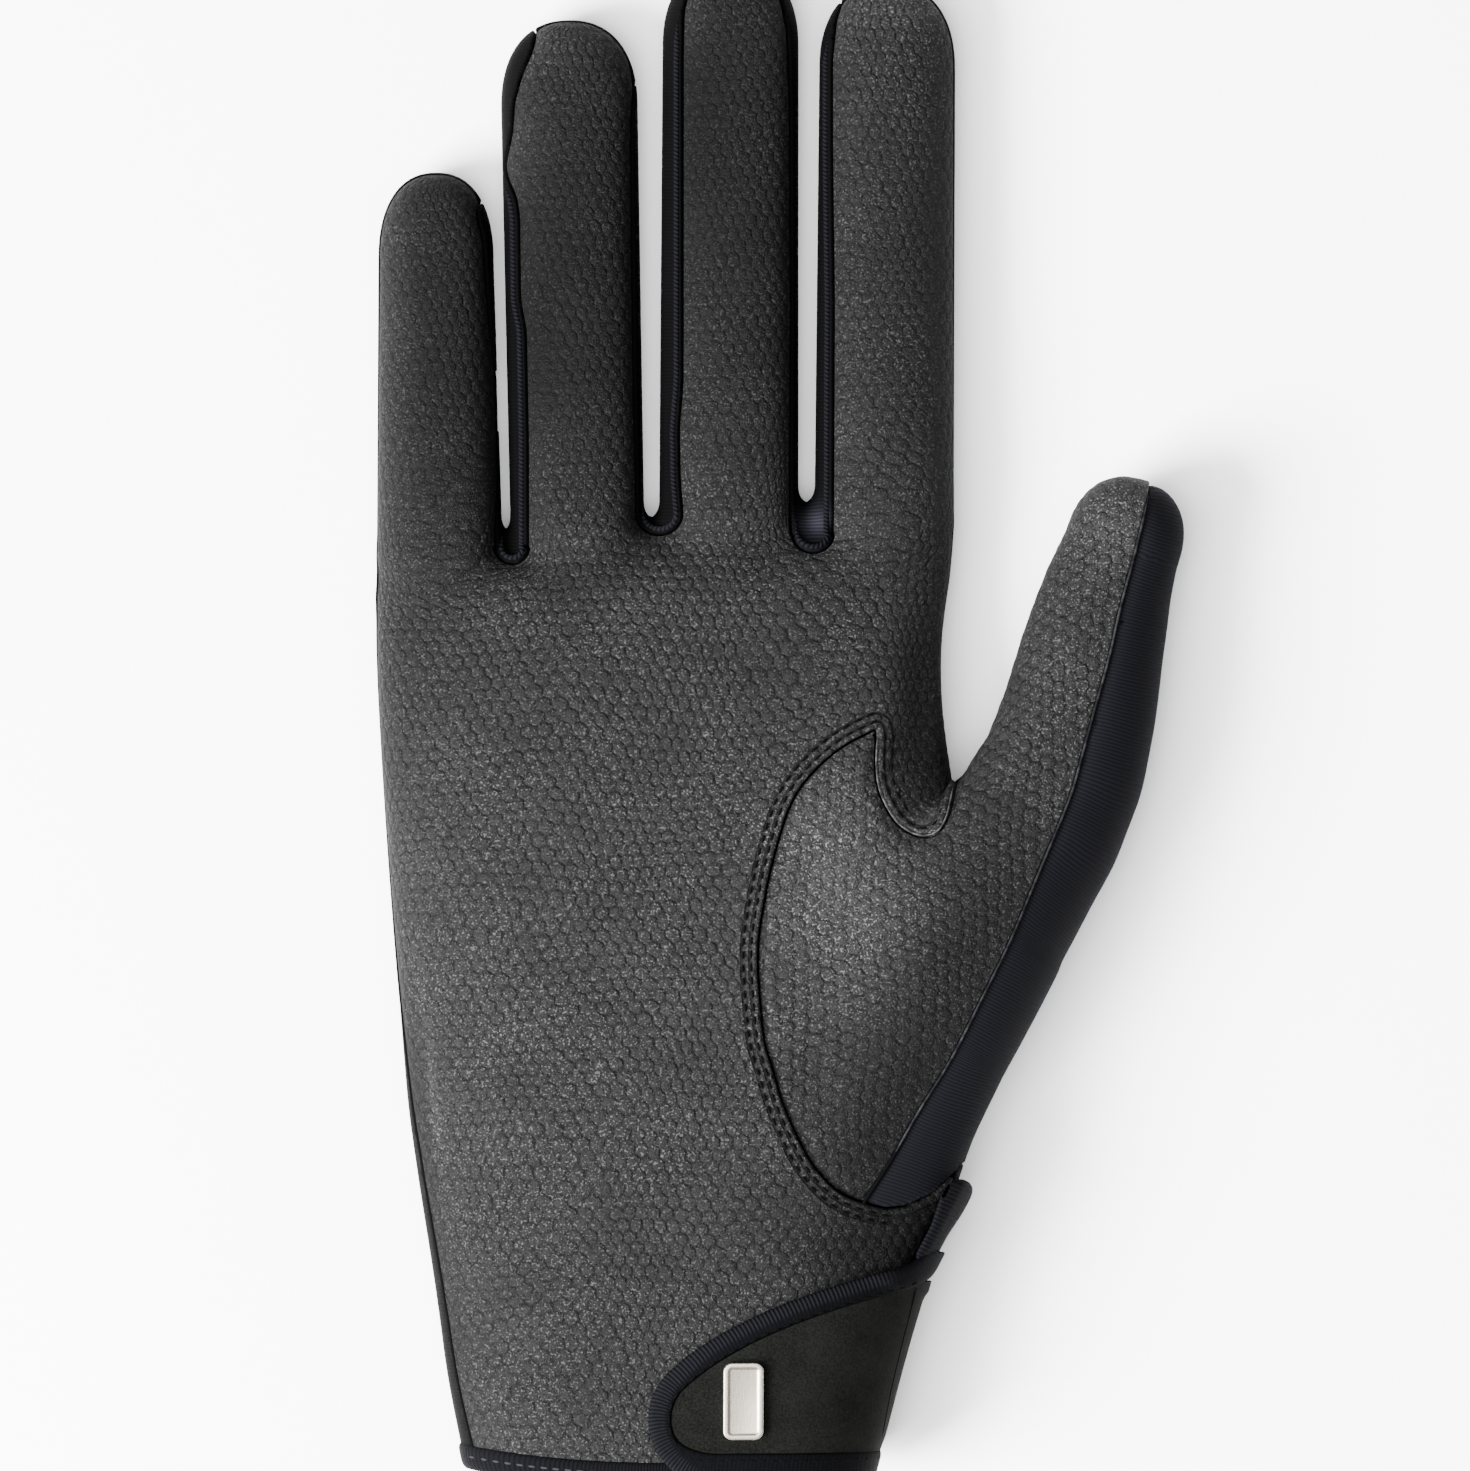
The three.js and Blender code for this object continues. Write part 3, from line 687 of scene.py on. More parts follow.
class HandForm:
    """The whole filled hand."""

    def __init__(self) -> None:
        """Makes the hand's bodies."""
        self.palm = PalmForm()
        self.thumb = ThumbForm()
        self.fingers = FINGERS

    @staticmethod
    def _reaches(y: Array, low: float, high: float) -> bool:
        """Whether any place lies in a stretch of the hand."""
        return bool(np.max(y) >= low and np.min(y) <= high)

    def wrist(self, x: Array, y: Array, z: Array) -> Array:
        """Distance to the palm and thumb alone.

        Args:
            x: Places across.
            y: Places along.
            z: Heights.

        Returns:
            The distance, negative inside.
        """
        shape = np.broadcast(x, y, z).shape
        value = np.full(shape, 60.0)
        if self._reaches(y, -40.0, 175.0):
            value = self.palm.distance(x, y, z)
        if self._reaches(y, 20.0, 185.0):
            value = smooth_min(value, self.thumb.distance(x, y, z), self.thumb_blend(x, y))
        return smooth_max(value, -z + 0.0 * value, 0.8)

    @staticmethod
    def thumb_blend(x: Array, y: Array) -> Array:
        """How softly the thumb joins the palm, sharper in the fork beside the index finger."""
        fork_x, fork_y = hand_point(952, 790)
        return 4.0 - 3.6 * hump(np.hypot(x - fork_x, (y - fork_y) * 0.7), 7.0)

    def distance(self, x: Array, y: Array, z: Array) -> Array:
        """Distance to the hand's surface.

        Args:
            x: Places across.
            y: Places along.
            z: Heights.

        Returns:
            The distance, negative inside.
        """
        shape = np.broadcast(x, y, z).shape
        palm = np.full(shape, 60.0)
        if self._reaches(y, -40.0, 175.0):
            palm = self.palm.distance(x, y, z)
        value = palm
        for finger in self.fingers:
            if self._reaches(y, finger.start_y - 5.0, finger.tip_y + 12.0):
                value = np.minimum(value, smooth_min(palm, finger.distance(x, y, z), 3.0))
        if self._reaches(y, 20.0, 185.0):
            value = smooth_min(value, self.thumb.distance(x, y, z), self.thumb_blend(x, y))
        front = ramp(z + 0.0 * value, 6.0, 12.0)
        for dent in DENTS:
            value = value + front * dent.value(x, y)
        return smooth_max(value, -z + 0.0 * value, 0.8)


# Meshes from distances


@dataclass
class Skin:
    """A surface mesh in hand millimetres."""

    points: Array
    faces: list[tuple[int, ...]]
    normals: Array = field(default_factory=lambda: np.zeros((0, 3)))
    values: dict[str, Array] = field(default_factory=dict)


def surface_net(values: Array, low: Array, step: float) -> tuple[Array, Array]:
    """Makes a quad mesh where a grid of distances changes sign.

    Args:
        values: Distances at the grid's points.
        low: The grid's lowest corner.
        step: Its spacing.

    Returns:
        The mesh points and its quads, facing outwards.
    """
    inside = values < 0.0
    counts = np.zeros(tuple(n - 1 for n in values.shape), dtype=np.int8)
    corners = [(i, j, k) for i in (0, 1) for j in (0, 1) for k in (0, 1)]
    nx, ny, nz = values.shape
    for i, j, k in corners:
        counts += inside[i : nx - 1 + i, j : ny - 1 + j, k : nz - 1 + k]
    active = (counts > 0) & (counts < 8)
    cells = np.argwhere(active)
    index = np.full(active.shape, -1, dtype=np.int64)
    index[active] = np.arange(len(cells))
    total = np.zeros((len(cells), 3))
    found = np.zeros(len(cells))
    for start in corners:
        for axis in range(3):
            if start[axis]:
                continue
            end = list(start)
            end[axis] = 1
            a = values[cells[:, 0] + start[0], cells[:, 1] + start[1], cells[:, 2] + start[2]]
            b = values[cells[:, 0] + end[0], cells[:, 1] + end[1], cells[:, 2] + end[2]]
            cut = (a < 0.0) != (b < 0.0)
            share = np.where(cut, a / np.where(cut, a - b, 1.0), 0.0)
            for other in range(3):
                place = np.full(len(cells), float(start[other]))
                if other == axis:
                    place = share
                total[:, other] += np.where(cut, place, 0.0)
            found += cut
    points = low + step * (cells + total / found[:, None])
    quads = []
    for axis in range(3):
        one, two = (axis + 1) % 3, (axis + 2) % 3
        near = [slice(1, -1)] * 3
        near[axis] = slice(0, -1)
        far = list(near)
        far[axis] = slice(1, None)
        start_in, end_in = inside[tuple(near)], inside[tuple(far)]
        edges = np.argwhere(start_in != end_in)
        outward = start_in[tuple(edges.T)]
        base = edges.copy()
        base[:, one] += 1
        base[:, two] += 1
        ring = []
        for back_one, back_two in ((1, 1), (0, 1), (0, 0), (1, 0)):
            cell = base.copy()
            cell[:, one] -= back_one
            cell[:, two] -= back_two
            ring.append(index[tuple(cell.T)])
        quad = np.stack(ring, axis=1)
        quad[~outward] = quad[~outward][:, ::-1]
        quads.append(quad)
    return points, np.vstack(quads)


Field = Callable[[Array, Array, Array], Array]


def fill_grid(shape: Field, low: Array, high: Array, step: float) -> Array:
    """Reads a field on a grid, a slice at a time.

    Args:
        shape: The field.
        low: The grid's lowest corner.
        high: Its highest corner.
        step: Its spacing.

    Returns:
        The values.
    """
    xs, ys, zs = (np.arange(low[a], high[a] + step, step) for a in range(3))
    values = np.empty((len(xs), len(ys), len(zs)), dtype=np.float32)
    chunk = 24
    for start in range(0, len(ys), chunk):
        rows = ys[start : start + chunk]
        values[:, start : start + chunk] = shape(xs[:, None, None], rows[None, :, None], zs[None, None, :])
    return values


def slope_of(shape: Field, points: Array, step: float = 0.05) -> Array:
    """The field's gradient at points.

    Args:
        shape: The field.
        points: Where to read it.
        step: Half the difference that is taken.

    Returns:
        The gradient.
    """
    x, y, z = points.T
    return (
        np.stack(
            [
                shape(x + step, y, z) - shape(x - step, y, z),
                shape(x, y + step, z) - shape(x, y - step, z),
                shape(x, y, z + step) - shape(x, y, z - step),
            ],
            axis=1,
        )
        / (2.0 * step)
    )


def settle(shape: Field, points: Array, rounds: int = 3) -> tuple[Array, Array]:
    """Moves points onto the surface and reads its normals.

    Args:
        shape: The field.
        points: Points near its surface.
        rounds: How often they are moved.

    Returns:
        The points and the unit normals.
    """
    for _ in range(rounds):
        slope = slope_of(shape, points)
        size = np.maximum((slope**2).sum(axis=1), 0.05)
        value = np.clip(shape(*points.T), -1.0, 1.0)
        points = points - slope * (value / size)[:, None]
    slope = slope_of(shape, points)
    return points, slope / np.linalg.norm(slope, axis=1)[:, None]


def net_of(shape: Field, low: Sequence[float], high: Sequence[float], step: float) -> Skin:
    """Meshes the surface of a field.

    Args:
        shape: The field.
        low: Lowest corner of the space that is searched.
        high: Its highest corner.
        step: Size of the mesh.

    Returns:
        The surface.
    """
    corner = np.array(low, dtype=float)
    values = fill_grid(shape, corner, np.array(high, dtype=float), step)
    points, quads = surface_net(values, corner, step)
    points, normals = settle(shape, points)
    return Skin(points, [tuple(q) for q in quads.tolist()], normals)


# Panels: regions of the surface, each a signed distance that is negative inside


Region = Callable[[Array, Array, Array], Array]


def flat_to_surface(region: Region, points: Array, normals: Array) -> tuple[Array, Array]:
    """Turns a region's value into a distance along the surface.

    Args:
        region: The region.
        points: Points on the surface.
        normals: Their normals.

    Returns:
        The distance along the surface, and the unit direction in which it grows.
    """
    slope = slope_of(region, points, 0.08)
    slope -= normals * (slope * normals).sum(axis=1)[:, None]
    size = np.linalg.norm(slope, axis=1)
    value = region(*points.T)
    return value / np.maximum(size, 0.25), slope / np.maximum(size, 1e-6)[:, None]


class Seams:
    """Where the panels of the hand meet."""

    SIDE = (
        (-0.1, 0.66), (0.1, 0.645), (0.3, 0.645), (0.38, 0.63), (0.43, 0.6), (0.5, 0.55), (0.62, 0.45),
        (0.75, 0.32), (0.9, 0.27), (2.0, 0.25),
    )
    GUSSET_FOOT = 3.5
    # Left and right edge of each gusset seen from above, from the web to the fingertips, as columns and rows
    GAPS = (
        {
            "left": ((497, 545), (499, 480), (497, 380), (489, 300), (485, 240), (478, 213),
                (484, 196), (500, 170), (500, 0)),
            "right": (
                (526, 545), (526, 440), (524, 330), (518, 300), (517, 215), (514, 197), (506, 180),
                (503, 165),
                (506, 150), (510, 132), (512, 102), (520, 74), (529, 54), (533, 42), (534, 30), (531, 10),
            ),
            "foot": (512, 547, 15.5, 15.0),
        },
        {
            "left": (
                (638, 515), (638, 480), (636, 400), (634, 250), (633, 120), (636, 80), (641, 50), (646, 26),
                (650, 12), (660, -40),
            ),
            "right": ((681, 515), (678, 480), (677, 430), (681, 380), (681, 60), (682, 10),
                (687, -10), (694, -60)),
            "foot": (659.5, 515, 21.0, 18.0),
        },
        {
            "left": ((792, 534), (793, 300), (792, 100), (789, 30), (783, 0), (772, -24), (800, -36),
                (806, -60)),
            "right": ((831, 534), (832, 300), (830, 150), (830, 60), (834, 20), (841, -2), (848, -20),
                (852, -60)),
            "foot": (813.0, 534, 19.5, 17.0),
        },
    )
    THENAR = (
        (886, 1207), (863, 1201), (844, 1193), (827, 1180), (810, 1159), (798, 1136), (783, 1102),
        (773, 1068),
        (764, 1037), (759, 984), (758, 960), (759, 935), (764, 903), (770, 872), (779, 838),
        (789, 808), (802, 785),
        (823, 762), (848, 743), (876, 729),
    )
    TONGUE = (
        (877, 738), (876, 766), (880, 792), (893, 817), (907, 830), (922, 835), (936, 831),
        (945, 818), (950, 800),
        (953, 786),
    )
    THUMB = (
        (1160, 440), (1149, 492), (1135, 551), (1120, 607), (1109, 655), (1094, 709), (1079, 764),
        (1068, 800),
        (1040, 867), (1010, 938), (983, 993), (950, 1058), (918, 1110), (890, 1159), (867, 1195), (835, 1245),
    )
    BEYOND = (
        (955, 777), (969, 722), (980, 660), (992, 600), (1012, 500), (1100, 300), (1400, 300), (1400, 1150),
        (1000, 1150), (977, 1156),
    )
    FOOT = ((962, 1165), (933, 1193), (907, 1205))
    UNDER_X = 43.7
    UNDER_Z = 9.6

    def __init__(self) -> None:
        """Lays out the seam lines."""
        rows = np.array(self.SIDE) * (PALM_LENGTH, PALM_DEPTH)
        self.side = Curve(rows[:, 0], rows[:, 1], 4.0)
        self.gaps = []
        for gap in self.GAPS:
            left = hand_line(gap["left"])
            right = hand_line(gap["right"])
            x, y, half, deep = gap["foot"]
            foot = (*hand_point(x, y), half * PIXEL, deep * PIXEL)
            self.gaps.append(
                (Curve(left[:, 1], left[:, 0], 0.7, 0.25), Curve(right[:, 1], right[:, 0], 0.7, 0.25), foot)
            )
        self.thenar = fine_line(hand_line(self.THENAR), 1.0)
        self.tongue = fine_line(hand_line(self.TONGUE), 1.0)
        self.thumb = fine_line(hand_line(self.THUMB), 1.5)
        foot = hand_line(self.FOOT)
        far = hand_line(self.BEYOND)
        self.area = np.vstack([self.thenar, self.tongue, far, foot])

    def palm_side(self, x: Array, y: Array, z: Array) -> Array:
        """Above the seam between palm and back."""
        return self.side(y) - z

    def cuff(self, x: Array, y: Array, z: Array) -> Array:
        """Below the line, under the binding of the cuff, where the panels end."""
        return cuff_bow(x) + CUFF_HEIGHT - CUFF_LAP - y

    def gusset(self, number: int) -> Region:
        """The ribbed gusset between two fingers.

        Args:
            number: Which gap it is, from the little finger's side.

        Returns:
            Its region.
        """
        left, right, (foot_x, foot_y, half, deep) = self.gaps[number]

        def region(x: Array, y: Array, z: Array) -> Array:
            """Signed distance to the gusset, negative inside."""
            plan = np.maximum(left(y) - x, x - right(y))
            below = (np.hypot((x - foot_x) / half, (y - foot_y) / deep) - 1.0) * min(half, deep)
            plan = np.where(y < foot_y, below, plan)
            return np.maximum(plan, self.GUSSET_FOOT - z)

        return region

    def piping(self, number: int, top: float, inset: float) -> Array:
        """The line of the piping round the foot of a gusset and up the finger on its right.

        Args:
            number: Which gap it is.
            top: How far up the hand it goes.
            inset: How far inside the gusset it lies.

        Returns:
            Its points, seen from above.
        """
        left, right, (foot_x, foot_y, half, deep) = self.gaps[number]
        short = np.arange(foot_y + 2.0, foot_y, -0.5)
        angle = np.radians(np.linspace(-170.0, -10.0, 24))
        rows = np.arange(foot_y, top, 1.0)
        return np.vstack(
            [
                np.stack([left(short) + inset, short], axis=1),
                np.stack(
                    [foot_x + (half - inset) * np.cos(angle), foot_y + (deep - inset) * np.sin(angle)], axis=1
                ),
                np.stack([right(rows) - inset, rows], axis=1),
            ]
        )

    def thumb_area(self, x: Array, y: Array, z: Array) -> Array:
        """All that lies in the hole that the thumb is set into.

        Args:
            x: Places across.
            y: Places along.
            z: Places up; not used.

        Returns:
            The distance, negative inside.
        """
        x, y = np.broadcast_arrays(x, y)
        near = (x > 5.0) & (y > 30.0) & (y < 170.0)
        value = np.full(x.shape, 30.0)
        if np.any(near):
            distance, _, _ = line_distance(x[near], y[near], self.area, closed=True)
            inside = inside_polygon(x[near], y[near], self.area)
            value[near] = np.where(inside, -distance, distance)
        return value

    def outside_thumb_seam(self, x: Array, y: Array, z: Array) -> Array:
        """On the outer side of the seam along the thumb.

        Args:
            x: Places across.
            y: Places along.
            z: Places up; not used.

        Returns:
            The distance, negative inside.
        """
        x, y = np.broadcast_arrays(x, y)
        near = (x > 5.0) & (y > 20.0) & (y < 180.0)
        value = np.full(x.shape, 30.0)
        if np.any(near):
            distance, side, _ = line_distance(x[near], y[near], self.thumb)
            value[near] = -side * distance
        return value

    def under_thumb(self, x: Array, y: Array, z: Array) -> Array:
        """Below the thumb's widest line on its inner side."""
        return np.maximum(self.UNDER_X - x, z - self.UNDER_Z)


class PanelName(Enum):
    """The panels that are cut from the hand's surface, named as the frame has them."""

    PALM = "palm_panel"
    BACK = "back_panel"
    THUMB_PALM = "thumb_palm"
    THUMB_SIDE = "thumb_side"
    LITTLE_RING = "gusset_little_ring"
    RING_MIDDLE = "gusset_ring_middle"
    MIDDLE_INDEX = "gusset_middle_index"


GUSSET_NAMES = (PanelName.LITTLE_RING, PanelName.RING_MIDDLE, PanelName.MIDDLE_INDEX)


def clip_skin(skin: Skin, value: Array) -> Skin:
    """Keeps the part of a surface where a value is negative.

    Args:
        skin: The surface.
        value: One number for each of its points.

    Returns:
        The kept part, with new points where it was cut.
    """
    faces = np.array(skin.faces)
    keep = value < 0.0
    corner = keep[faces]
    whole = corner.all(axis=1)
    partly = corner.any(axis=1) & ~whole
    names = list(skin.values)
    stack = np.hstack([skin.points, skin.normals] + [skin.values[n].reshape(len(value), -1) for n in names])
    kept_faces: list[tuple[int, ...]] = [tuple(f) for f in faces[whole].tolist()]
    new_rows: list[Array] = []
    cuts: dict[tuple[int, int], int] = {}
    for face in faces[partly].tolist():
        ring = []
        for a, b in zip(face, face[1:] + face[:1]):
            if keep[a]:
                ring.append(a)
            if keep[a] != keep[b]:
                key = (min(a, b), max(a, b))
                if key not in cuts:
                    share = value[key[0]] / (value[key[0]] - value[key[1]])
                    cuts[key] = len(value) + len(new_rows)
                    new_rows.append(stack[key[0]] * (1 - share) + stack[key[1]] * share)
                ring.append(cuts[key])
        if len(ring) > 2:
            kept_faces.append(tuple(ring))
    rows = np.vstack([stack, *[r[None, :] for r in new_rows]]) if new_rows else stack
    used = np.zeros(len(rows), dtype=bool)
    for size in {len(f) for f in kept_faces}:
        used[np.array([f for f in kept_faces if len(f) == size]).ravel()] = True
    renumber = np.cumsum(used) - 1
    rows = rows[used]
    faces_out = [tuple(int(renumber[i]) for i in f) for f in kept_faces]
    values = {}
    at = 6
    for name in names:
        wide = 1 if skin.values[name].ndim == 1 else skin.values[name].shape[1]
        block = rows[:, at : at + wide]
        values[name] = block[:, 0] if skin.values[name].ndim == 1 else block
        at += wide
    normals = rows[:, 3:6] / np.linalg.norm(rows[:, 3:6], axis=1)[:, None]
    return Skin(rows[:, :3], faces_out, normals, values)


# Cloth coordinates: where a point lies on the flat cloth, in millimetres


def arc_table(half_width: float, half_depth: float, power: float) -> tuple[Array, Array]:
    """Length round a superellipse from the middle of its top.

    Args:
        half_width: Half its width.
        half_depth: Half its depth.
        power: Its exponent.

    Returns:
        Angles from -90 to 90 degrees in radians, rising, and the length from the top down to each.
    """
    angle = np.linspace(-math.pi / 2, math.pi / 2, 361)
    x = np.abs(np.cos(angle)) ** (2 / power) * half_width
    z = np.sign(np.sin(angle)) * np.abs(np.sin(angle)) ** (2 / power) * half_depth
    steps = np.hypot(np.diff(x), np.diff(z))
    from_top = np.concatenate([np.cumsum(steps[::-1])[::-1], [0.0]])
    return angle, from_top


def arc_across(
    across: Array, up: Array, half_width: Array, half_depth: Array, power: float, table: tuple
) -> Array:
    """Length along the cloth from the middle of a section's top to a point, positive to the right.

    Args:
        across: Distance from the centre across.
        up: Distance from the centre upwards.
        half_width: Half the section's width.
        half_depth: Half its depth.
        power: Its exponent.
        table: Arc table of a section of width 2.

    Returns:
        The length.
    """
    u = np.abs(across) / half_width
    v = np.abs(up) / half_depth
    angle = np.arctan2(np.sign(up) * v ** (power / 2), u ** (power / 2))
    return np.sign(across) * half_width * np.interp(angle, *table)


class ClothMap:
    """Lays the cloth's own flat coordinates over the hand."""

    THUMB_ROWS = 60.0  # direction of the thumb patch's columns of cells

    def __init__(self, hand: HandForm) -> None:
        """Prepares the arc tables.

        Args:
            hand: The hand that the cloth covers.
        """
        self.hand = hand
        self.palm_table = arc_table(1.0, 0.4, 2.5)
        self.finger_table = arc_table(1.0, 0.8, 2.25)
        self.thumb_table = arc_table(1.0, 0.95, 2.2)
        self.tip_table = arc_table(1.0, 0.62, 2.3)

    def palm(self, points: Array) -> Array:
        """Cloth coordinates of the palm and fingers.

        Args:
            points: Places on the surface.

        Returns:
            Lengths across and along for each.
        """
        x, y, z = points.T
        palm = self.hand.palm
        row = palm.straighten(x, y)
        left, right = palm.left(row), palm.right(row)
        depth = np.maximum(palm.depth(row), FINGER_DEPTH)
        middle = (left + right) / 2
        top = depth - REST_FLAT
        up, half = np.minimum(z, top) - top / 2, (right - left) / 2
        palm_arc = arc_across(x - middle, up, half, depth / 2 + REST_FLAT / 2, 2.5, self.palm_table)
        palm_extra = palm_arc - (x - middle)
        centres = np.stack([f.centre(y) for f in FINGERS])
        nearest = np.argmin(np.abs(x[None, :] - centres), axis=0)
        centre = np.take_along_axis(centres, nearest[None, :], 0)[0]
        width = np.take_along_axis(np.stack([f.half_width(y) for f in FINGERS]), nearest[None, :], 0)[0]
        low = (FINGER_DEPTH - REST_FLAT) / 2
        half_depth = np.full(len(x), low + REST_FLAT)
        finger_arc = arc_across(x - centre, z - low, width, half_depth, 2.25, self.finger_table)
        finger_extra = finger_arc - (x - centre)
        on_finger = ramp(y - WEB_SLOPE * x, PALM_LENGTH - 4.0, PALM_LENGTH + 18.0)
        across = x + palm_extra * (1 - on_finger) + finger_extra * on_finger
        ends = np.array([f.tip_y - FINGER_END for f in FINGERS])[nearest]
        beyond = np.clip((y - ends) / FINGER_END, 0.0, 0.999)
        flat = (1.0 - beyond**2.3) ** (1 / 2.3)
        turn = np.arctan2(flat**1.15, beyond**1.15)
        along = np.where(y > ends, ends + FINGER_END * np.interp(turn, *self.tip_table), y)
        return np.stack([across, along], axis=1)

    def thumb(self, points: Array) -> Array:
        """Cloth coordinates of the thumb's panels.

        Args:
            points: Places on the surface.

        Returns:
            Lengths across and along for each.
        """
        x, y, z = points.T
        thumb = self.hand.thumb
        mark, across, ahead = thumb.local(x, y)
        round_it = arc_across(
            across, z - thumb.z(mark), thumb.half_width(mark), thumb.half_depth(mark), 2.2, self.thumb_table
        )
        return np.stack([round_it, mark + ahead], axis=1)

    def thumb_front(self, points: Array) -> Array:
        """Cloth coordinates of the patch over the ball and front of the thumb, in straight rows.

        Args:
            points: Places on the surface.

        Returns:
            Lengths across and along for each.
        """
        x, y, z = points.T
        thumb = self.hand.thumb
        angle = math.radians(self.THUMB_ROWS)
        right = x * math.sin(angle) - y * math.cos(angle)
        up = x * math.cos(angle) + y * math.sin(angle)
        mark, across, _ = thumb.local(x, y)
        half = thumb.half_width(mark)
        share = np.clip(np.abs(across) / half, 0.0, 0.985)
        turn = np.arctan2((1.0 - share**2.2) ** 0.5, share**1.1)
        extra = half * (np.interp(turn, *self.thumb_table) - share)
        weight = np.where(across > 0.0, 1.0, ramp(mark, 50.0, 85.0))
        return np.stack([right + np.sign(across) * extra * weight, up], axis=1)


# The embossed cells of the grip cloth

CELL_WIDTH = 2.4
CELL_PAIR = 4.0  # two staggered rows


@dataclass(frozen=True)
class PaintedShadingSpot:
    """A soft spot of painted light (gain above 1) or painted shade (gain below 1) on the cloth's colour,
    placed by the photograph's pixels.
    """

    pixel_x: float
    pixel_y: float
    reach_x: float
    reach_y: float
    gain: float
    turn: float = 0.0

    def value(self, points: Array) -> Array:
        """Logarithm of how much lighter it makes each point.

        Args:
            points: Places on the hand.

        Returns:
            The logarithm.
        """
        x, y = hand_point(self.pixel_x, self.pixel_y)
        dx, dy = (points[:, 0] - x) / PIXEL, (points[:, 1] - y) / PIXEL
        return math.log(self.gain) * turned_bell(dx, dy, self.reach_x, self.reach_y, self.turn)


# painted light and shade: each spot lightens (gain above 1) or darkens (below 1) the cloth's colour where
# light or shade falls
PAINTED_SHADING_SPOTS = (
    PaintedShadingSpot(435, 330, 75, 230, 0.25),
    PaintedShadingSpot(575, 270, 75, 260, 0.24),
    PaintedShadingSpot(735, 180, 75, 330, 0.27),
    PaintedShadingSpot(915, 270, 75, 300, 0.42),
    PaintedShadingSpot(840, 880, 75, 130, 2.4),
    PaintedShadingSpot(600, 1330, 260, 190, 0.8),
    PaintedShadingSpot(940, 995, 150, 75, 0.42, 62.0),
    PaintedShadingSpot(1135, 520, 50, 90, 1.7, 75.0),
    PaintedShadingSpot(900, 1150, 110, 75, 0.4, 62.0),
    PaintedShadingSpot(890, 1240, 70, 40, 0.3, 15.0),
    PaintedShadingSpot(930, 700, 32, 110, 0.6),
    PaintedShadingSpot(600, 600, 160, 40, 1.15),
    PaintedShadingSpot(416, 1170, 320, 22, 0.26, 98.4),
    PaintedShadingSpot(392, 640, 45, 160, 0.75),
    PaintedShadingSpot(434, 1095, 95, 6, 1.9, 96.0),
    PaintedShadingSpot(940, 765, 44, 15, 0.45, 70.0),
    PaintedShadingSpot(924, 816, 24, 13, 2.1, 12.0),
    PaintedShadingSpot(540, 335, 22, 75, 0.55),
    PaintedShadingSpot(696, 125, 26, 85, 0.42),
    PaintedShadingSpot(560, 46, 60, 24, 1.6),
    PaintedShadingSpot(915, 6, 70, 28, 2.4),
    PaintedShadingSpot(398, 320, 18, 110, 1.35),
)


def painted_shading_tone(points: Array) -> Array:
    """How light the cloth is painted: the spots' painted light and shade, with a faint random tone.

    Args:
        points: Places on the hand.

    Returns:
        A factor for its colour, 1 for most of the palm.
    """
    total = np.zeros(len(points))
    for spot in PAINTED_SHADING_SPOTS:
        total = total + spot.value(points)
    return 0.93 * np.exp(total) * (1.0 + 0.1 * wavy(points[:, 0], points[:, 1], 18.0, 12))


def cell_height(across: Array, along: Array) -> Array:
    """Height of the embossed cells, from 0 in a groove to 1 on top.

    Args:
        across: Cloth coordinate across, in millimetres.
        along: Cloth coordinate along, in millimetres.

    Returns:
        The height.
    """
    u, v = across / CELL_WIDTH, along / CELL_PAIR
    ax, ay = (u - np.round(u)) * CELL_WIDTH, (v - np.round(v)) * CELL_PAIR
    bx = (u - 0.5 - np.round(u - 0.5)) * CELL_WIDTH
    by = (v - 0.5 - np.round(v - 0.5)) * CELL_PAIR
    da, db = ax * ax + ay * ay, bx * bx + by * by
    near = np.minimum(da, db)
    apart = math.hypot(CELL_WIDTH / 2, CELL_PAIR / 2)
    beside = np.where(da < db, np.abs(ax), np.abs(bx))
    edge = np.minimum((np.maximum(da, db) - near) / (2 * apart), CELL_WIDTH / 2 - beside)
    return ramp(edge, 0.0, 0.75) * (1.0 - 0.2 * near)


# From skins to Blender objects


class Placing:
    """Turns hand millimetres into the frame's metres."""

    def __init__(self) -> None:
        """Reads where the frame has the hand."""
        low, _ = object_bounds()
        palm_low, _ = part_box("palm_panel")
        self.offset = np.array([palm_low.x * 1000 + 0.499 * PALM_WIDTH, low.y * 1000, 0.0])

    def metres(self, points: Array) -> Array:
        """Moves points into the frame."""
        return (points + self.offset) / 1000.0

    def box(self, node: str, margin: float) -> tuple[Array, Array]:
        """A CAD node's box in hand millimetres.

        Args:
            node: The node's name.
            margin: How much the box is grown.

        Returns:
            Its lowest and highest corner.
        """
        low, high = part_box(node)
        return (
            np.array(low) * 1000 - self.offset - margin,
            np.array(high) * 1000 - self.offset + margin,
        )


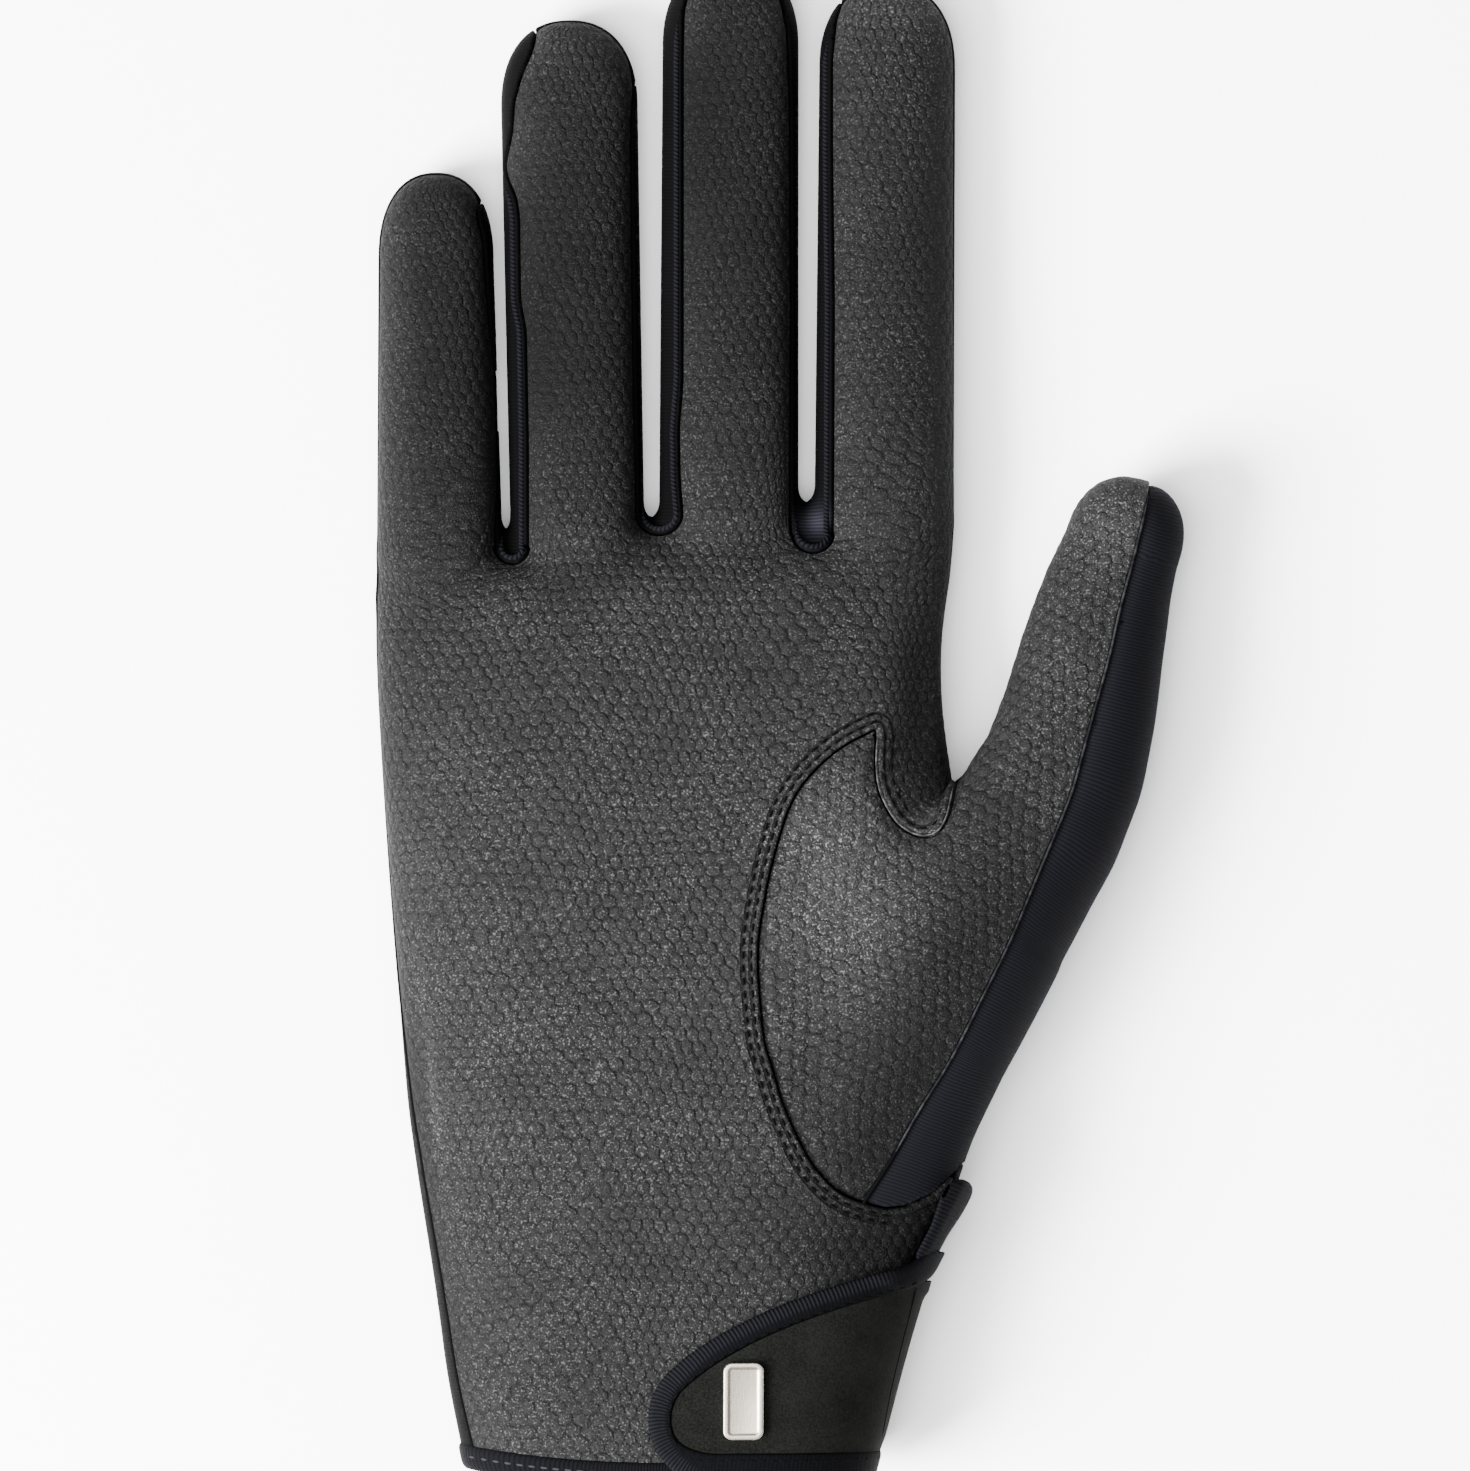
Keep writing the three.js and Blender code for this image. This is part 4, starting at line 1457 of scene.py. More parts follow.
def mesh_object(
    name: str,
    points: Array,
    faces: Sequence[tuple[int, ...]],
    cloth: Array | None,
    marks: dict[str, Array] | None = None,
) -> bpy.types.Object:
    """Makes a smooth-shaded object.

    Args:
        name: The piece's name.
        points: Its points in metres.
        faces: Its faces.
        cloth: Cloth coordinates of each point in millimetres, kept as a UV map in centimetres.
        marks: Numbers for each point that its material reads, by name.

    Returns:
        The object.
    """
    mesh = bpy.data.meshes.new(name)
    points[:, 2] = np.maximum(points[:, 2], 0.0)
    mesh.from_pydata(points.tolist(), [], faces)
    mesh.polygons.foreach_set("use_smooth", [True] * len(mesh.polygons))
    for key, numbers in (marks or {}).items():
        mesh.attributes.new(name=key, type="FLOAT", domain="POINT").data.foreach_set(
            "value", numbers.astype(np.float32)
        )
    if cloth is not None:
        corner = np.empty(len(mesh.loops), dtype=np.int32)
        mesh.loops.foreach_get("vertex_index", corner)
        layer = mesh.uv_layers.new(name="cloth")
        layer.data.foreach_set("uv", (cloth[corner] / 10.0).astype(np.float32).ravel())
    mesh.update()
    made = bpy.data.objects.new(name, mesh)
    bpy.context.collection.objects.link(made)
    return made


@dataclass(frozen=True)
class PanelPlan:
    """How one panel is cut and edged."""

    name: PanelName
    slot: str
    step: float
    parts: tuple[Region, ...]
    roll: float
    cloth: Callable[[Array], Array]
    relief: float  # height of its embossed cells, 0 for plain cloth
    lift: Callable[[Array], Array]
    marks: Callable[[Array], dict[str, Array]]


class PanelMaker:
    """Cuts panels from the hand's surface and gives them their edges and thickness."""

    ROLL_ROWS = (30.0, 60.0, 90.0)

    def __init__(self, hand: HandForm, placing: Placing) -> None:
        """Keeps what every panel needs."""
        self.hand = hand
        self.placing = placing

    def _cut(self, plan: PanelPlan) -> Skin:
        """Meshes the panel's part of the hand and clips it to its seams.

        Args:
            plan: The panel.

        Returns:
            The clipped skin, with the direction out over the nearest edge for each point.
        """
        step = plan.step * 1.0
        low, high = self.placing.box(plan.name.value, 2.5)
        skin = net_of(self.hand.distance, low, high, step)
        value = np.full(len(skin.points), -50.0)
        outward = np.zeros((len(skin.points), 3))
        inset = SEAM_GAP / 2 + plan.roll
        for part in plan.parts:
            raw = part(*skin.points.T)
            near = np.abs(raw) < 6.0
            part_value, direction = raw.copy(), np.zeros((len(raw), 3))
            if np.any(near):
                part_value[near], direction[near] = flat_to_surface(
                    part, skin.points[near], skin.normals[near]
                )
            over = part_value > value
            outward[over] = direction[over]
            value = np.maximum(value, part_value)
        value = value + inset
        snap = np.abs(value) < 0.3 * step
        skin.points[snap] -= outward[snap] * value[snap][:, None]
        value[snap] = -1e-6
        skin.values["outward"] = outward
        skin.values["edge"] = -value
        return clip_skin(skin, value)

    def make(self, plan: PanelPlan, finish: bpy.types.Material) -> bpy.types.Object:
        """Builds one panel.

        Args:
            plan: How it is cut and edged.
            finish: Its material.

        Returns:
            The finished piece.
        """
        skin = self._cut(plan)
        cloth = plan.cloth(skin.points)
        height = plan.lift(skin.points)
        if plan.relief:
            cells = cell_height(cloth[:, 0], cloth[:, 1]) * plan.relief
            height = height + cells * ramp(skin.values["edge"], 0.0, 1.2)
        outer = skin.points + skin.normals * height[:, None]
        under = skin.points - skin.normals * WALL
        outward = skin.values["outward"]
        outward = outward / np.maximum(np.linalg.norm(outward, axis=1), 1e-6)[:, None]
        rim = boundary_edges(skin.faces)
        ring = sorted({i for edge in rim for i in edge})
        place = {old: new for new, old in enumerate(ring)}
        ring_rows = np.array(ring)
        base, turn, out = outer[ring_rows], skin.normals[ring_rows], outward[ring_rows]
        rows = []
        for degrees in self.ROLL_ROWS:
            angle = math.radians(degrees)
            rows.append(base + out * plan.roll * math.sin(angle) - turn * plan.roll * (1 - math.cos(angle)))
        rows.append(under[ring_rows] + out * plan.roll)
        count = len(outer)
        points = [outer]
        starts = []
        for row in rows:
            starts.append(count)
            points.append(row)
            count += len(row)
        inner_points, inner_faces, inner_ring = thin_inside(under, skin.faces, ring)
        inner_start = count
        points.append(inner_points)
        faces = list(skin.faces)
        faces.extend(tuple(i + inner_start for i in reversed(face)) for face in inner_faces)
        for a, b in rim:
            ia, ib = place[a], place[b]
            chain_a = [a] + [s + ia for s in starts] + [inner_start + inner_ring[a]]
            chain_b = [b] + [s + ib for s in starts] + [inner_start + inner_ring[b]]
            for k in range(len(chain_a) - 1):
                faces.append((chain_b[k], chain_a[k], chain_a[k + 1], chain_b[k + 1]))
        every = np.vstack(points)
        ring_cloth = cloth[ring_rows]
        cloth_rows = [cloth] + [ring_cloth] * len(rows) + [plan.cloth(inner_points)]
        marks = {}
        for key, numbers in plan.marks(skin.points).items():
            # inside, the nap mark's painted light and shade take their darkest value, and other marks their
            # largest
            inside = np.full(len(inner_points), numbers.min() if key == "nap" else numbers.max())
            marks[key] = np.concatenate([numbers, *([numbers[ring_rows]] * len(rows)), inside])
        made = mesh_object(
            plan.name.value + "_cloth", self.placing.metres(every), faces, np.vstack(cloth_rows), marks
        )
        made.data.materials.append(finish)
        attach(made, "root")
        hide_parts(plan.name.value)
        LOG.info("%s: %d points, %d faces", made.name, len(every), len(faces))
        return made


def boundary_edges(faces: Sequence[tuple[int, ...]]) -> list[tuple[int, int]]:
    """The open edges of a mesh, in the direction of the face beside each.

    Args:
        faces: The mesh's faces.

    Returns:
        Pairs of point numbers.
    """
    seen: dict[tuple[int, int], tuple[int, int]] = {}
    for face in faces:
        for a, b in zip(face, face[1:] + face[:1]):
            key = (a, b) if a < b else (b, a)
            if key in seen:
                del seen[key]
            else:
                seen[key] = (a, b)
    return list(seen.values())


def thin_inside(
    points: Array, faces: Sequence[tuple[int, ...]], ring: Sequence[int]
) -> tuple[Array, list[tuple[int, ...]], dict[int, int]]:
    """Makes the plain inner side of a panel with far fewer faces, and with the same edge.

    Args:
        points: The inner side's points.
        faces: Its faces, facing outwards.
        ring: The points of its open edge.

    Returns:
        The new points, the new faces and, for each old edge point, its new number.
    """
    mesh = bpy.data.meshes.new("inside")
    mesh.from_pydata(points.tolist(), [], faces)
    temp = bpy.data.objects.new("inside", mesh)
    bpy.context.collection.objects.link(temp)
    group = temp.vertex_groups.new(name="free")
    held = set(ring)
    group.add([i for i in range(len(points)) if i not in held], 1.0, "REPLACE")
    for other in bpy.context.selected_objects:
        other.select_set(False)
    bpy.context.view_layer.objects.active = temp
    temp.select_set(True)
    thin = temp.modifiers.new("thin", "DECIMATE")
    thin.ratio = 0.1
    thin.vertex_group = "free"
    thin.vertex_group_factor = 1000.0
    bpy.ops.object.modifier_apply(modifier=thin.name)
    new_points = np.empty(len(temp.data.vertices) * 3)
    temp.data.vertices.foreach_get("co", new_points)
    new_points = new_points.reshape(-1, 3)
    new_faces = [tuple(p.vertices) for p in temp.data.polygons]
    lookup = {tuple(np.round(p, 3)): i for i, p in enumerate(new_points)}
    where: dict[int, int] = {}
    lost = 0
    for old in ring:
        key = tuple(np.round(points[old], 3))
        found = lookup.get(key)
        if found is None:
            found = int(np.argmin(((new_points - points[old]) ** 2).sum(axis=1)))
            lost += 1
        where[old] = found
    if lost:
        LOG.info("inner edge points moved: %d of %d", lost, len(ring))
    bpy.data.objects.remove(temp)
    bpy.data.meshes.remove(mesh)
    return new_points, new_faces, where


# Materials


def srgb(code: str) -> Colour:
    """Turns an sRGB colour code into the linear colour that shaders take.

    Args:
        code: Six hexadecimal digits after a hash sign.

    Returns:
        Linear red, green, blue and full opacity.
    """
    parts = [int(code[i : i + 2], 16) / 255 for i in (1, 3, 5)]
    linear = [p / 12.92 if p <= 0.04045 else ((p + 0.055) / 1.055) ** 2.4 for p in parts]
    return (linear[0], linear[1], linear[2], 1.0)


# What a Mix node blends, and the same for a factor that may pass 1
COLOURS = {"data_type": "RGBA"}
BRIGHTEN = {"data_type": "RGBA", "clamp_factor": False}
BLACK = (0.0, 0.0, 0.0, 1.0)


class Nodes:
    """A material's node tree, with one short call to add a node."""

    def __init__(self, name: str) -> None:
        """Starts an empty material.

        Args:
            name: What the material is.
        """
        self.material = bpy.data.materials.new(name)
        self.material.use_nodes = True
        self.tree = self.material.node_tree
        self.tree.nodes.clear()

    def add(
        self, kind: str, settings: dict | str | None = None, *slots: object, **inputs: object
    ) -> bpy.types.Node:
        """Adds a node with settings and with linked or fixed inputs.

        Args:
            kind: The node's type, without ShaderNode in front.
            settings: Properties of the node, or the name of its operation.
            *slots: Its first inputs in order.
            **inputs: Inputs by name, with spaces as underscores, or by number as in_6. A socket is linked, a
                node stands for its first output, and anything else is set.

        Returns:
            The node.
        """
        node = self.tree.nodes.new("ShaderNode" + kind)
        if isinstance(settings, str):
            settings = {"operation": settings}
        for key, value in (settings or {}).items():
            setattr(node, key, value)
        numbered = {f"in_{number}": value for number, value in enumerate(slots)}
        for key, value in (numbered | inputs).items():
            socket = node.inputs[int(key[3:]) if key.startswith("in_") else key.replace("_", " ")]
            if isinstance(value, bpy.types.Node):
                value = value.outputs[0]
            if isinstance(value, bpy.types.NodeSocket):
                self.tree.links.new(value, socket)
            else:
                socket.default_value = value
        return node

    def finish(self, shader: bpy.types.Node) -> bpy.types.Material:
        """Joins the shader to the output."""
        self.add("OutputMaterial", Surface=shader)
        return self.material


@dataclass(frozen=True)
class GripSuede:
    """Embossed pebble suede of the palm and the thumb's front.

    The point attribute nap carries painted light and shade that scale the suede's colour, and seam says how
    far in millimetres a point is from the seam round the thumb patch, where two stitched channels run.
    """

    name: str = "embossed grip suede"
    # the groove colour is painted shade, laid into the grooves, creases and stitched channels
    groove: str = "#040404"
    low: str = "#080808"
    high: str = "#1c1c1c"
    # the painted glint colour: pale flecks that stand in for glints of the grain
    painted_glint: str = "#474747"
    channels: tuple[float, float] = (1.3, 2.6)

    def make(self) -> bpy.types.Material:
        """Builds the material.

        Returns:
            The material.
        """
        # split leather, embossed and brushed: dead matt; its pale flecks are painted glints and its grooves
        # carry painted shade
        n = Nodes(self.name)
        uv = n.add("UVMap", {"uv_map": "cloth"}).outputs[0]
        split = n.add("SeparateXYZ", Vector=uv)
        u = n.add("Math", "MULTIPLY", split.outputs[0], 10.0 / CELL_WIDTH)
        v = n.add("Math", "MULTIPLY", split.outputs[1], 10.0 / CELL_PAIR)

        def offset(value: bpy.types.Node, shift: float, size: float) -> bpy.types.Node:
            """Distance in millimetres from the nearest row of cell centres."""
            moved = n.add("Math", "SUBTRACT", value, shift)
            return n.add(
                "Math", "MULTIPLY", n.add("Math", "SUBTRACT", moved, n.add("Math", "ROUND", moved)), size
            )

        ax, ay = offset(u, 0.0, CELL_WIDTH), offset(v, 0.0, CELL_PAIR)
        bx, by = offset(u, 0.5, CELL_WIDTH), offset(v, 0.5, CELL_PAIR)
        da = n.add("Math", "ADD", n.add("Math", "MULTIPLY", ax, ax), n.add("Math", "MULTIPLY", ay, ay))
        db = n.add("Math", "ADD", n.add("Math", "MULTIPLY", bx, bx), n.add("Math", "MULTIPLY", by, by))
        near = n.add("Math", "MINIMUM", da, db)
        far = n.add("Math", "MAXIMUM", da, db)
        apart = math.hypot(CELL_WIDTH / 2, CELL_PAIR / 2)
        to_other = n.add("Math", "DIVIDE", n.add("Math", "SUBTRACT", far, near), 2 * apart)
        first = n.add("Math", "LESS_THAN", da, db)
        beside_first = n.add("Math", "MULTIPLY", n.add("Math", "ABSOLUTE", ax), first)
        beside_other = n.add(
            "Math", "MULTIPLY", n.add("Math", "ABSOLUTE", bx), n.add("Math", "SUBTRACT", 1.0, first)
        )
        beside = n.add("Math", "ADD", beside_first, beside_other)
        edge = n.add("Math", "MINIMUM", to_other, n.add("Math", "SUBTRACT", CELL_WIDTH / 2, beside))
        # the corners of each cell are rounded off
        edge = n.add("Math", "MINIMUM", edge, n.add("Math", "SUBTRACT", 1.28, n.add("Math", "SQRT", near)))
        place = n.add("TexCoord").outputs["Object"]
        nap = n.add("TexNoise", Vector=place, Scale=2700.0, Detail=2.0, Roughness=0.8).outputs[0]
        faint = n.add("TexNoise", Vector=place, Scale=520.0, Detail=1.0).outputs[0]
        patch = n.add("TexNoise", Vector=place, Scale=70.0, Detail=3.0).outputs[0]
        speck = n.add("TexNoise", Vector=place, Scale=2900.0, Detail=0.0).outputs[0]
        # the nap mark read here carries painted light and shade
        brushed = n.add("Attribute", {"attribute_name": "nap"}).outputs["Fac"]
        seam = n.add("Attribute", {"attribute_name": "seam"}).outputs["Fac"]
        frayed = n.add(
            "Math", "ADD", edge, n.add("Math", "MULTIPLY", n.add("Math", "SUBTRACT", nap, 0.5), 0.4)
        )
        rise = n.add(
            "MapRange", {"interpolation_type": "SMOOTHSTEP"}, Value=frayed, From_Min=-0.08, From_Max=0.46
        ).outputs[0]
        # some grooves are pressed less deep than others
        depth = n.add("MapRange", Value=faint, From_Min=0.35, From_Max=0.62, To_Min=0.25, To_Max=0.9)
        pressed = n.add("Math", "MULTIPLY", n.add("Math", "SUBTRACT", 1.0, rise), depth.outputs[0])
        # where the nap mark paints shade the cells are pressed shallower, and fine creases run across it, in
        # the bump and as painted shade in the colour
        smooth = n.add("MapRange", Value=brushed, From_Min=0.3, From_Max=0.9, To_Min=0.6, To_Max=1.0)
        raised = n.add("MapRange", Value=brushed, From_Min=1.1, From_Max=2.0, To_Min=1.0, To_Max=0.4)
        pressed = n.add(
            "Math", "MULTIPLY", n.add("Math", "MULTIPLY", pressed, smooth.outputs[0]), raised.outputs[0]
        )
        drawn = n.add("Mapping", Vector=place, Scale=(330.0, 800.0, 330.0)).outputs[0]
        folds = n.add("TexNoise", Vector=drawn, Scale=1.0, Detail=2.0).outputs[0]
        thin = n.add("Math", "ABSOLUTE", n.add("Math", "SUBTRACT", folds, 0.5))
        crease = n.add("MapRange", Value=thin, From_Min=0.0, From_Max=0.035, To_Min=0.8, To_Max=0.0)
        crease = n.add(
            "Math", "MULTIPLY", crease.outputs[0], n.add("Math", "SUBTRACT", 1.0, smooth.outputs[0])
        )
        pressed = n.add("Math", "MAXIMUM", pressed, crease)
        channel = None
        for mark in self.channels:
            off = n.add("Math", "DIVIDE", n.add("Math", "SUBTRACT", seam, mark), 0.36)
            one = n.add(
                "Math", "MAXIMUM", n.add("Math", "SUBTRACT", 1.0, n.add("Math", "MULTIPLY", off, off)), 0.0
            )
            channel = one if channel is None else n.add("Math", "MAXIMUM", channel, one)
        groove = n.add("Math", "MAXIMUM", pressed, channel)
        # painted shade: the grooves, the creases and the stitched channels are darkened in the colour
        painted_groove_shade = n.add(
            "Math",
            "MAXIMUM",
            n.add("Math", "MULTIPLY", pressed, 0.36),
            n.add("Math", "MULTIPLY", channel, 0.8),
        )
        body = n.add(
            "Mix",
            COLOURS,
            n.add("MapRange", Value=nap, From_Min=0.32, From_Max=0.68).outputs[0],
            in_6=srgb(self.low),
            in_7=srgb(self.high),
        ).outputs[2]
        # painted glints: pale flecks in the colour stand in for glints of the grain, in random patches
        painted_glint_dots = n.add("MapRange", Value=speck, From_Min=0.62, From_Max=0.74).outputs[0]
        worn = n.add("MapRange", Value=patch, From_Min=0.35, From_Max=0.7, To_Min=0.3, To_Max=0.6)
        shown = n.add("Math", "MULTIPLY", painted_glint_dots, worn)
        with_painted_glints = n.add("Mix", COLOURS, shown, in_6=body, in_7=srgb(self.painted_glint)).outputs[2]
        dark = n.add("Mix", COLOURS, painted_groove_shade, in_6=with_painted_glints, in_7=srgb(self.groove)).outputs[2]
        # painted light and shade: the nap mark scales the whole colour, lighter or darker by place
        colour = n.add("Mix", BRIGHTEN, brushed, in_6=BLACK, in_7=dark).outputs[2]
        # each cell rises a little to its lower right side, where it drops into the groove
        other = n.add("Math", "SUBTRACT", 1.0, first)
        right = n.add(
            "Math", "ADD", n.add("Math", "MULTIPLY", ax, first), n.add("Math", "MULTIPLY", bx, other)
        )
        down = n.add(
            "Math", "ADD", n.add("Math", "MULTIPLY", ay, first), n.add("Math", "MULTIPLY", by, other)
        )
        tilt = n.add("Math", "MULTIPLY", n.add("Math", "SUBTRACT", right, down), 0.3)
        dome = n.add(
            "Math", "ADD", n.add("Math", "SUBTRACT", 1.0, n.add("Math", "MULTIPLY", near, 0.22)), tilt
        )
        height = n.add(
            "Math", "ADD", n.add("Math", "SUBTRACT", dome, groove), n.add("Math", "MULTIPLY", nap, 0.95)
        )
        bump = n.add("Bump", Height=height, Strength=1.0, Distance=0.00027).outputs[0]
        shader = n.add(
            "BsdfPrincipled", Base_Color=colour, Roughness=0.8, Normal=bump, Specular_IOR_Level=0.06
        )
        return n.finish(shader)


@dataclass(frozen=True)
class RibbedStretch:
    """Fine ribbed stretch knit of the back, the gussets and the thumb's side.

    The point attribute nap carries painted light and shade that scale the knit's colour.
    """

    name: str = "ribbed stretch knit"
    dark: str = "#030304"
    light: str = "#08080b"
    pitch: float = 0.55  # the real ribs lie 0.3 mm apart, too fine to show at the picture's size

    def make(self) -> bpy.types.Material:
        """Builds the material.

        Returns:
            The material.
        """
        # warp-knitted stretch yarn: dark and matt, with a faint light on the crowns of its ribs
        n = Nodes(self.name)
        uv = n.add("UVMap", {"uv_map": "cloth"}).outputs[0]
        split = n.add("SeparateXYZ", Vector=uv)
        wander = n.add("TexNoise", Vector=uv, Scale=1.2, Detail=1.0).outputs[0]
        along = n.add("Math", "ADD", split.outputs[1], n.add("Math", "MULTIPLY", wander, 0.08))
        wave = n.add("Math", "SINE", n.add("Math", "MULTIPLY", along, 2.0 * math.pi * 10.0 / self.pitch))
        rib = n.add("Math", "ADD", n.add("Math", "MULTIPLY", wave, 0.5), 0.5)
        place = n.add("TexCoord").outputs["Object"]
        nap = n.add("TexNoise", Vector=place, Scale=2600.0, Detail=2.0).outputs[0]
        tone = n.add("TexNoise", Vector=place, Scale=60.0, Detail=1.0).outputs[0]
        base = n.add(
            "Mix", COLOURS, n.add("Math", "MULTIPLY", rib, 0.8), in_6=srgb(self.dark), in_7=srgb(self.light)
        ).outputs[2]
        colour = n.add(
            "Mix", COLOURS, n.add("Math", "MULTIPLY", tone, 0.5), in_6=base, in_7=srgb(self.dark)
        ).outputs[2]
        # painted light and shade: the nap mark scales the whole colour
        brushed = n.add("Attribute", {"attribute_name": "nap"}).outputs["Fac"]
        colour = n.add("Mix", BRIGHTEN, brushed, in_6=BLACK, in_7=colour).outputs[2]
        height = n.add("Math", "ADD", rib, n.add("Math", "MULTIPLY", nap, 0.4))
        bump = n.add("Bump", Height=height, Strength=0.4, Distance=0.0001).outputs[0]
        shader = n.add(
            "BsdfPrincipled", Base_Color=colour, Roughness=0.85, Normal=bump, Specular_IOR_Level=0.025
        )
        return n.finish(shader)


@dataclass(frozen=True)
class ElasticTape:
    """Ribbed elastic tape of the bindings.

    The point attribute ribs says how strongly its ribs show, and fold is 1 along its sewn inner edge, which
    is darkened there as painted shade.
    """

    name: str = "ribbed elastic tape"
    dark: str = "#020203"
    light: str = "#0b0b0e"
    pitch: float = 0.66  # the real ribs lie about 0.5 mm apart, too fine to show at the picture's size

    def make(self) -> bpy.types.Material:
        """Builds the material.

        Returns:
            The material.
        """
        # woven elastic folded over an edge: its ribs catch a little light along the fold
        n = Nodes(self.name)
        uv = n.add("UVMap", {"uv_map": "cloth"}).outputs[0]
        split = n.add("SeparateXYZ", Vector=uv)
        across = n.add("Math", "MULTIPLY", split.outputs[1], 10.0)
        # the ribs lean a little and bend over the tape's crown
        bent = n.add("Math", "MULTIPLY", n.add("Math", "MULTIPLY", across, across), 0.05)
        along = n.add("Math", "ADD", n.add("Math", "MULTIPLY", split.outputs[0], 10.0), bent)
        wave = n.add("Math", "SINE", n.add("Math", "MULTIPLY", along, 2.0 * math.pi / self.pitch))
        rib = n.add("Math", "POWER", n.add("Math", "ADD", n.add("Math", "MULTIPLY", wave, 0.5), 0.5), 0.7)
        on = n.add("Attribute", {"attribute_name": "ribs"}).outputs["Fac"]
        fold = n.add("Attribute", {"attribute_name": "fold"}).outputs["Fac"]
        shown = n.add(
            "Math", "MULTIPLY", rib, n.add("Math", "ADD", n.add("Math", "MULTIPLY", on, 0.85), 0.15)
        )
        place = n.add("TexCoord").outputs["Object"]
        nap = n.add("TexNoise", Vector=place, Scale=2400.0, Detail=2.0).outputs[0]
        colour = n.add(
            "Mix",
            COLOURS,
            n.add("Math", "ADD", shown, n.add("Math", "MULTIPLY", n.add("Math", "SUBTRACT", nap, 0.5), 0.5)),
            in_6=srgb(self.dark),
            in_7=srgb(self.light),
        ).outputs[2]
        # painted shade: the colour goes to black along the sewn inner edge
        colour = n.add("Mix", COLOURS, fold, in_6=colour, in_7=BLACK).outputs[2]
        height = n.add("Math", "ADD", shown, n.add("Math", "MULTIPLY", nap, 0.25))
        bump = n.add("Bump", Height=height, Strength=0.8, Distance=0.00016).outputs[0]
        shader = n.add(
            "BsdfPrincipled", Base_Color=colour, Roughness=0.8, Normal=bump, Specular_IOR_Level=0.02
        )
        return n.finish(shader)


@dataclass(frozen=True)
class BrushedSuede:
    """Smooth brushed suede of the closure strap."""

    name: str = "smooth strap suede"
    dark: str = "#020202"
    light: str = "#0d0e0c"

    def make(self) -> bpy.types.Material:
        """Builds the material.

        Returns:
            The material.
        """
        # brushed smooth: an even matt black with faint clouds
        n = Nodes(self.name)
        place = n.add("TexCoord").outputs["Object"]
        nap = n.add("TexNoise", Vector=place, Scale=2800.0, Detail=3.0, Roughness=0.7).outputs[0]
        cloud = n.add("TexNoise", Vector=place, Scale=140.0, Detail=3.0).outputs[0]
        tone = n.add(
            "Math", "ADD", n.add("Math", "MULTIPLY", nap, 0.7), n.add("Math", "MULTIPLY", cloud, 0.3)
        )
        colour = n.add(
            "Mix",
            COLOURS,
            n.add("MapRange", Value=tone, From_Min=0.36, From_Max=0.64).outputs[0],
            in_6=srgb(self.dark),
            in_7=srgb(self.light),
        ).outputs[2]
        bump = n.add("Bump", Height=nap, Strength=0.6, Distance=0.00012).outputs[0]
        shader = n.add(
            "BsdfPrincipled", Base_Color=colour, Roughness=0.9, Normal=bump, Specular_IOR_Level=0.03
        )
        return n.finish(shader)


@dataclass(frozen=True)
class HookTape:
    """Looped fastener tape under the strap."""

    name: str = "looped fastener tape"
    dark: str = "#08080a"
    light: str = "#1d1d20"

    def make(self) -> bpy.types.Material:
        """Builds the material.

        Returns:
            The material.
        """
        # knitted loops: rough, dark and speckled
        n = Nodes(self.name)
        place = n.add("TexCoord").outputs["Object"]
        loops = n.add("TexVoronoi", {"feature": "F1"}, Vector=place, Scale=1400.0).outputs[0]
        colour = n.add("Mix", COLOURS, loops, in_6=srgb(self.light), in_7=srgb(self.dark)).outputs[2]
        bump = n.add("Bump", Height=loops, Strength=1.0, Distance=0.0003).outputs[0]
        shader = n.add(
            "BsdfPrincipled", Base_Color=colour, Roughness=0.9, Normal=bump, Specular_IOR_Level=0.2
        )
        return n.finish(shader)


@dataclass(frozen=True)
class Thread:
    """Twisted sewing thread or a cut edge, both of uneven colour."""

    name: str
    colour: str
    dark: str
    worn: float = 0.0  # how much of it lies in the dark colour

    def make(self) -> bpy.types.Material:
        """Builds the material.

        Returns:
            The material.
        """
        # twisted yarn: matt, and uneven where it is worn
        n = Nodes(self.name)
        place = n.add("TexCoord").outputs["Object"]
        ply = n.add("TexNoise", Vector=place, Scale=5200.0, Detail=1.0).outputs[0]
        broad = n.add("TexNoise", Vector=place, Scale=620.0, Detail=2.0).outputs[0]
        clear = n.add("MapRange", Value=broad, From_Min=0.4, From_Max=0.62, To_Min=1.0 - self.worn)
        colour = n.add(
            "Mix",
            COLOURS,
            n.add("Math", "MULTIPLY", ply, clear.outputs[0]),
            in_6=srgb(self.dark),
            in_7=srgb(self.colour),
        ).outputs[2]
        bump = n.add("Bump", Height=ply, Strength=0.7, Distance=0.00008).outputs[0]
        shader = n.add(
            "BsdfPrincipled", Base_Color=colour, Roughness=0.85, Normal=bump, Specular_IOR_Level=0.02
        )
        return n.finish(shader)


